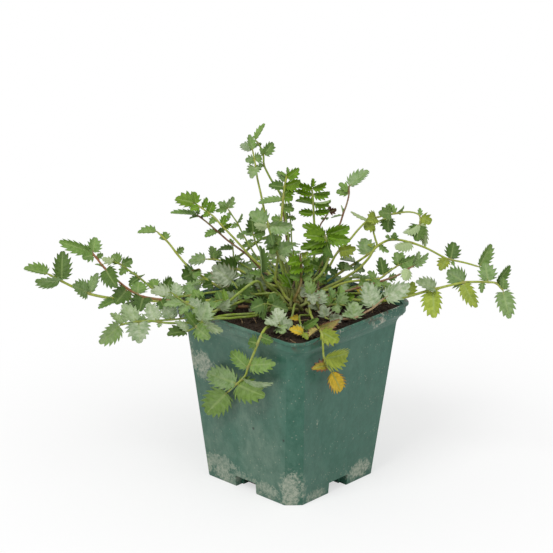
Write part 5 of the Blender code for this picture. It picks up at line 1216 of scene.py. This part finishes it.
def powderMask(group, place, across, upwards):
    # streaks along each leaflet, with finer mottling
    x, _, z = splitParts(group, place)
    feeds = {
        0: work(group, "MULTIPLY_ADD", x, 90.0, work(group, "MULTIPLY", across, 2.6)),
        1: work(group, "MULTIPLY", upwards, 5.0),
        2: work(group, "MULTIPLY", z, 130.0),
    }
    streak = speckle(group, addNode(group, "ShaderNodeCombineXYZ", feeds).outputs[0], 1.6, 5, 0.6)
    mottle = work(group, "MULTIPLY", speckle(group, place, 330, 5, 0.6), 0.40)
    return ramp(group, work(group, "MULTIPLY_ADD", streak, 0.60, mottle), 0.36, 0.64, 0.12, 1.0)


def brownMask(group, fromRib, mottle, browning):
    # the more browned a leaflet is, the further in from its edge the brown reaches
    edge = work(group, "ADD", fromRib, work(group, "MULTIPLY", mottle, 0.9))
    edge = work(group, "ADD", edge, work(group, "MULTIPLY_ADD", browning, 1.1, -1.5))
    return work(group, "MULTIPLY", ramp(group, edge, 0.0, 0.35), ramp(group, browning, 0.0, 0.1))


def makeLeafGroup():
    # veins with painted shade in the sunken side veins, powdery bloom, a pale underside lightened further by
    # painted light shining through it, and browned edges, from the leaf's own attributes
    group, given, out = newGroup(
        "leafColouring", [("Bloom", 0.5), ("Vein Paleness", 0.4)],
        [("Color", "NodeSocketColor"), ("Roughness", "NodeSocketFloat"), ("Height", "NodeSocketFloat")])
    tint = readAttribute(group, "ownTint", "Color")
    isUnder, bloom, browning = splitParts(group, readAttribute(group, "leafLook", "Vector"))
    flat = addNode(group, "ShaderNodeUVMap", uv_map="leafUv").outputs[0]
    across, upwards, _ = splitParts(group, flat)
    fromRib, rib, sideVein = veinMasks(group, across, upwards)
    vein = work(group, "MAXIMUM", rib, work(group, "MULTIPLY", sideVein, 0.7))
    place = objectPlace(group)
    mottle = speckle(group, place, 420, 4)
    colour = mixColours(
        group, ramp(group, mottle, 0.3, 0.7, 0.75, 0.0), tint, (0.55, 0.62, 0.42, 1), "MULTIPLY")
    # painted shade: the side veins, grooved into the bump, are darkened as if shade lay in them
    veinCreaseShade = work(group, "MULTIPLY", sideVein, work(group, "SUBTRACT", 1.0, rib))
    colour = mixColours(
        group, work(group, "MULTIPLY", veinCreaseShade, 0.22), colour, (0.50, 0.62, 0.35, 1), "MULTIPLY")
    colour = mixColours(group, work(group, "MULTIPLY", rib, given["Vein Paleness"]), colour, leaflet["rib"])
    powder = powderMask(group, place, across, upwards)
    powder = work(group, "MULTIPLY", powder, work(group, "MULTIPLY_ADD", fromRib, -0.35, 1.0))
    powder = work(group, "MULTIPLY", work(group, "MULTIPLY", powder, bloom), given["Bloom"])
    powder = work(group, "MULTIPLY", powder, work(group, "MULTIPLY_ADD", vein, -0.20, 1.0))
    colour = mixColours(group, powder, colour, leaflet["powder"])
    # the underside is paler as it really is, and lightened further as painted light shining through the blade
    paleLitUnderside = mixColours(group, 0.45, mixColours(group, vein, leaflet["paleLitUnderside"], leaflet["underVein"]), tint)
    colour = mixColours(group, isUnder, colour, paleLitUnderside)
    colour = mixColours(group, brownMask(group, fromRib, mottle, browning), colour, leaflet["brown"])
    group.links.new(colour, out["Color"])
    group.links.new(work(group, "MULTIPLY_ADD", powder, 0.35, 0.48), out["Roughness"])
    groove = work(group, "MULTIPLY", vein, work(group, "SUBTRACT", 1.0, isUnder))
    height = work(group, "MULTIPLY_ADD", groove, -0.45, mottle)
    height = work(group, "ADD", height, work(group, "MULTIPLY", speckle(group, place, 1500, 2), 0.35))
    group.links.new(height, out["Height"])
    return group


def makeBlade(name, leafGroup, bloom, veinPaleness):
    material, tree, shader = newMaterial(name, 0.5, 0.22)
    colouring = addNode(tree, "ShaderNodeGroup", node_tree=leafGroup)
    colouring.inputs["Bloom"].default_value = bloom
    colouring.inputs["Vein Paleness"].default_value = veinPaleness
    tree.links.new(colouring.outputs["Color"], shader.inputs["Base Color"])
    tree.links.new(colouring.outputs["Roughness"], shader.inputs["Roughness"])
    addGrain(tree, shader, colouring.outputs["Height"], 0.5, 0.0003)
    return material


def makeStalkMaterial():
    material, tree, shader = newMaterial("downyStalk", 0.55, 0.25)
    _, bloom, reddening = splitParts(tree, readAttribute(tree, "leafLook", "Vector"))
    place = objectPlace(tree)
    streak = speckle(tree, place, 700, 4)
    # painted shade: the tint is darkened towards the hollow colour where the streaks' bump is low
    hollowShade = ramp(tree, streak, 0.35, 0.7, 0.6, 0.0)
    colour = mixColours(tree, hollowShade, readAttribute(tree, "ownTint", "Color"), stalkLook["hollow"], "MULTIPLY")
    patch = ramp(tree, speckle(tree, place, 240, 3), 0.4, 0.6)
    red = work(tree, "MULTIPLY", reddening, work(tree, "MULTIPLY_ADD", patch, 0.6, 0.4))
    colour = mixColours(tree, red, colour, stalkLook["red"])
    colour = mixColours(tree, work(tree, "MULTIPLY", bloom, patch), colour, stalkLook["powder"])
    tree.links.new(colour, shader.inputs["Base Color"])
    addGrain(tree, shader, streak, 0.4, 0.0002)
    return material


def drawBend(fold, chance):
    # how one leaflet is folded and curled, none quite like the next
    return {
        "fold": math.radians(fold + chance.uniform(-7, 7)),
        "droop": math.radians(leaflet["droop"] + chance.uniform(-14, 14)) + 1e-4,
        "twist": math.radians(chance.uniform(-9, 9)),
        "curl": chance.uniform(-0.05, 0.12),
        "sway": chance.uniform(-0.06, 0.06),
        "oneSided": chance.uniform(-0.10, 0.10),
    }


def bentPoint(x, y, raised, length, width, bend):
    # across, ahead and above, for a point of the flat leaflet
    half = width / 2
    fold, droop = bend["fold"], bend["droop"]
    x *= width / leaflet["aspect"] * (1 + math.copysign(bend["oneSided"], x))
    x += bend["sway"] * length * y * y
    out = abs(x) / half
    ridge = math.hypot(x, 0.10 * half) - 0.10 * half
    z = ridge * math.sin(fold) - bend["curl"] * half * out * out + raised
    x *= math.cos(fold * min(1.0, out * 3))
    angle = droop * y
    lengthwise = length * math.sin(angle) / droop + z * math.sin(angle)
    upright = z * math.cos(angle) - length * (1 - math.cos(angle)) / droop
    turned = bend["twist"] * y
    across = x * math.cos(turned) - upright * math.sin(turned)
    upright = x * math.sin(turned) + upright * math.cos(turned)
    tilt = droop / 2
    ahead = lengthwise * math.cos(tilt) - upright * math.sin(tilt)
    return across, ahead, lengthwise * math.sin(tilt) + upright * math.cos(tilt)


def addLeaflet(bm, shape, layers, base, way, width, side, fold, tone, chance):
    mesh, points = shape
    length = way.length
    forward = way.normalized()
    normal = side.cross(forward)
    bend = drawBend(fold, chance)
    shade = chance.uniform(0.86, 1.14)
    warm = chance.uniform(-0.05, 0.05)
    (red, green, blue), bloom, browning = tones[tone]
    colour = (red * (shade + warm), green * shade, blue * (shade - warm), 1)
    bloom *= chance.uniform(0.7, 1.25)
    start = len(bm.verts)
    bm.from_mesh(mesh)
    bm.verts.ensure_lookup_table()
    for i, (x, y, pleat, isTop) in enumerate(points):
        vert = bm.verts[start + i]
        raised = pleat * leaflet["pleat"] * width - (0.0 if isTop else leaflet["thickness"])
        across, ahead, above = bentPoint(x, y, raised, length, width, bend)
        vert.co = base + side * across + forward * ahead + normal * above
        vert[layers["tint"]] = colour
        vert[layers["look"]] = (0.0 if isTop else 1.0, bloom, browning)


def stemLength(stalk, way):
    # a leaflet's own short stem, from the middle of the stalk
    return stalk * 0.3 + 0.04 * way.length


def growStalk(bm, layers, tint, stalk, points, placed):
    # a tube that is a little thicker at its foot and at each pair of leaflets
    last = len(points) - 1
    route = sum((points[i + 1] - points[i]).length for i in range(last))
    steps = max(8, round(route / stalkLook["stepLength"]))
    ats = [last * step / steps for step in range(steps + 1)]
    joint = route / last / stalkLook["joint"]
    nearJoint = [max([0.0] + [1 - abs(at - held[0]) * joint for held in placed]) for at in ats]
    radii = [stalkHalf(stalk, at, last) * (1 + 0.22 * near + 0.35 * max(0.0, 1 - at / 0.8))
             for near, at in zip(nearJoint, ats)]
    radii[-1] *= 0.55

    def paintStalk(vert, i):
        share = max(0.0, 1 - ats[i] / 1.4)
        vert[layers["tint"]] = (*Vector(tint).lerp(Vector(stalkLook["foot"]), share * 0.6), 1)
        vert[layers["look"]] = (0, stalkLook["down"], 0.55 * nearJoint[i] + 0.35 * share)

    growTube(bm, [along(points, at) for at in ats], radii, stalkLook["sides"], paintStalk)


def growStem(bm, layers, tint, centre, way, stem, tone):
    forward = way.normalized()
    ends = [centre, centre + forward * (stem * 0.55), centre + forward * (stem + 0.10 * way.length)]

    def paintStem(vert, _):
        vert[layers["tint"]] = (*Vector(tint).lerp(Vector(tones[tone][0]), 0.4), 1)
        vert[layers["look"]] = (0, stalkLook["down"], 0.3)

    growTube(bm, ends, [0.5, 0.36, 0.22], 5, paintStem)


def growLeaf(name, stalkTint, stalk, points, placed, shapes, materials):
    chance = random.Random(name)
    bm = bmesh.new()
    layers = {
        "tint": bm.verts.layers.float_color.new("ownTint"),
        "look": bm.verts.layers.float_vector.new("leafLook"),
    }
    bm.loops.layers.uv.new("leafUv")
    tint = stalkTints[stalkTint]
    growStalk(bm, layers, tint, stalk, points, placed)
    for at, way, _, _, tone in placed:
        growStem(bm, layers, tint, along(points, at), way, stemLength(stalk, way), tone)
    for face in bm.faces:
        face.material_index = 1
    fold = leaflet["foldOf"].get(name, leaflet["fold"][name.split("_")[0]])
    for at, way, width, side, tone in placed:
        stem = way.normalized() * stemLength(stalk, way)
        size = next((size for size in ("large", "medium") if way.length > leaflet[size]), "small")
        width *= leaflet["fullness"] / max(0.86, math.cos(math.radians(fold)))
        side = -side if tone == leaflet["seenFromBelow"] else side
        blade = way * leaflet["reach"] - stem
        addLeaflet(bm, shapes[size], layers, along(points, at) + stem, blade, width, side, fold, tone, chance)
    pieceName = "burnet" + "".join(word.capitalize() for word in name.split("_"))
    finishPiece(bm, pieceName, materials, name, 50)


def growLeaves(blades, stalkMaterial):
    starts = crownPlaces()
    routes, stalks = {}, {}
    for name, _, _, stalk, route, _ in leafTable:
        start, first = starts[name], placeOnSheet(*route[0])
        rise = Vector((0, 0, (first - start).length * 0.1))
        routes[name] = [start, start.lerp(first, 0.5) + rise] + [placeOnSheet(*point) for point in route]
        stalks[name] = stalk
    spreadRoutes(routes, stalks)
    stalkTrees = {name: treeOf(stalkSections(points, stalks[name] + 2 * sheet["gap"]))
                  for name, points in routes.items()}
    shapes = {size: makeLeafletShape(*counts) for size, counts in leaflet["sizes"].items()}
    obstacles = [partTree(name) for name in ("pot", "compost", "rootstock")]
    facing = leadOnSheet(0, 0, -1)
    grown = 0
    for name, tone, stalkTint, stalk, _, listed in leafTable:
        points = routes[name]
        leaflets = [(at + 1, leadOnSheet(x, y, z), width, turn, facing, ownTone)
                    for at, x, y, z, width, turn, ownTone in listed] or pairedLeaflets(points, tone)
        others = obstacles + [tree for key, tree in stalkTrees.items() if key != name]
        own = [treeOf(stalkSections(points, stalk * 0.8))]
        placed = settleLeaflets(points, leaflets, stalk, others, own)
        obstacles += own[1:]
        slotName = slots[name]
        growLeaf(name, stalkTint, stalk, points, placed, shapes, [blades[slotName], stalkMaterial])
        grown += len(placed)
    print("leaves grown, with", grown, "leaflets")


# Floor, light and camera

studio = {
    "worldStrength": 0.60, "floor": (0.95, 0.95, 0.95, 1), "distance": 2.4, "aimHeight": 0.09,
    # power, size, azimuth and height of each
    "lamps": {"keyLight": (27.0, 1.1, 8, 50), "fillLight": (8.0, 1.6, 92, 42)},
}
view = {
    "turn": 42.251, "rise": 19.478, "roll": 0.44, "distance": 1.1378, "lens": 139.21,
    "aimAcross": -0.008134, "aimHeight": 0.113095,
}


def cameraWhite(tree):
    # 1 for rays from the camera, a mirror or glass, which see plain white
    path = addNode(tree, "ShaderNodeLightPath").outputs
    seen = work(tree, "MAXIMUM", path["Is Camera Ray"], path["Is Glossy Ray"])
    return work(tree, "MAXIMUM", seen, path["Is Transmission Ray"])


def makeWorld():
    world = bpy.data.worlds.new("studioLight")
    world.use_nodes = True
    tree = world.node_tree
    soft = tree.nodes["Background"]
    soft.inputs["Color"].default_value = (1, 1, 1, 1)
    soft.inputs["Strength"].default_value = studio["worldStrength"]
    white = addNode(tree, "ShaderNodeBackground", {"Color": (1, 1, 1, 1), "Strength": 1.0})
    feeds = {0: cameraWhite(tree), 1: soft.outputs[0], 2: white.outputs[0]}
    both = addNode(tree, "ShaderNodeMixShader", feeds)
    tree.links.new(both.outputs[0], tree.nodes["World Output"].inputs["Surface"])
    bpy.context.scene.world = world


def makeFloor():
    bm = bmesh.new()
    bmesh.ops.create_grid(bm, x_segments=1, y_segments=1, size=6)
    floor = plainObject(bm, "studioFloor")
    material, tree, shader = newMaterial("paleFloor", 0.9, 0.0)
    shader.inputs["Base Color"].default_value = studio["floor"]
    glow = addNode(tree, "ShaderNodeEmission", {"Color": (1, 1, 1, 1), "Strength": 1.0})
    path = addNode(tree, "ShaderNodeLightPath").outputs
    away = addNode(tree, "ShaderNodeVectorMath", {0: objectPlace(tree)}, operation="LENGTH").outputs["Value"]
    share = work(tree, "MULTIPLY", path["Is Camera Ray"], ramp(tree, away, 0.10, 0.26, 0.6, 1.0))
    both = addNode(tree, "ShaderNodeMixShader", {0: share, 1: shader.outputs[0], 2: glow.outputs[0]})
    tree.links.new(both.outputs[0], tree.nodes["Material Output"].inputs["Surface"])
    floor.data.materials.append(material)


def makeLamps():
    for name, (power, size, azimuth, height) in studio["lamps"].items():
        lamp = bpy.data.lights.new(name, "AREA")
        lamp.shape = "DISK"
        lamp.size = size
        lamp.energy = power
        back = outwards(azimuth, height)
        light = bpy.data.objects.new(name, lamp)
        light.location = back * studio["distance"] + Vector((0, 0, studio["aimHeight"]))
        light.rotation_mode = "QUATERNION"
        light.rotation_quaternion = (-back).to_track_quat("-Z", "Y")
        bpy.context.scene.collection.objects.link(light)


def outwards(azimuth, height):
    # the direction that something at an azimuth and height, in degrees, lies in
    turn, rise = math.radians(azimuth), math.radians(height)
    return Vector((math.sin(turn) * math.cos(rise), -math.cos(turn) * math.cos(rise), math.sin(rise)))


def makeCamera():
    turn, roll = math.radians(view["turn"]), math.radians(view["roll"])
    middle = Vector((0, 0, view["aimHeight"]))
    target = Vector((math.cos(turn), math.sin(turn), 0)) * view["aimAcross"] + middle
    spot = outwards(view["turn"], view["rise"]) * view["distance"] + middle
    ahead = (target - spot).normalized()
    right = ahead.cross(Vector((0, 0, 1))).normalized()
    up = right.cross(ahead)
    across = right * math.cos(roll) + up * math.sin(roll)
    above = up * math.cos(roll) - right * math.sin(roll)
    camera = bpy.data.objects.new("camera", bpy.data.cameras.new("camera"))
    camera.data.lens = view["lens"]
    camera.data.clip_start, camera.data.clip_end = 0.05, 20
    camera.matrix_world = Matrix.Translation(spot) @ Matrix((across, above, -ahead)).transposed().to_4x4()
    bpy.context.scene.collection.objects.link(camera)
    bpy.context.scene.camera = camera


bpy.context.scene.view_settings.view_transform = "Standard"
makeCamera()
makeWorld()
makeFloor()
makeLamps()
print("camera, floor and lamps made")
leafGroup = makeLeafGroup()
blades = {
    "leaf_green": makeBlade("greenBlade", leafGroup, 0.45, 0.45),
    "leaf_grey": makeBlade("greyBlade", leafGroup, 0.65, 0.35),
    "leaf_bright": makeBlade("brightBlade", leafGroup, 0.25, 0.50),
    "leaf_white": makeBlade("whiteBlade", leafGroup, 0.85, 0.25),
    "leaf_yellow": makeBlade("yellowBlade", leafGroup, 0.20, 0.60),
}
slots = {part["node"]: part["material_slot"] for part in frame["record"]["subparts"]}
makePot()
makeCompost(makeSoilMaterial("fibrousCompost", 0.95, 0.6))
makeRootstock(makeSoilMaterial("driedBark", 0.85, 0.3))
growLeaves(blades, makeStalkMaterial())
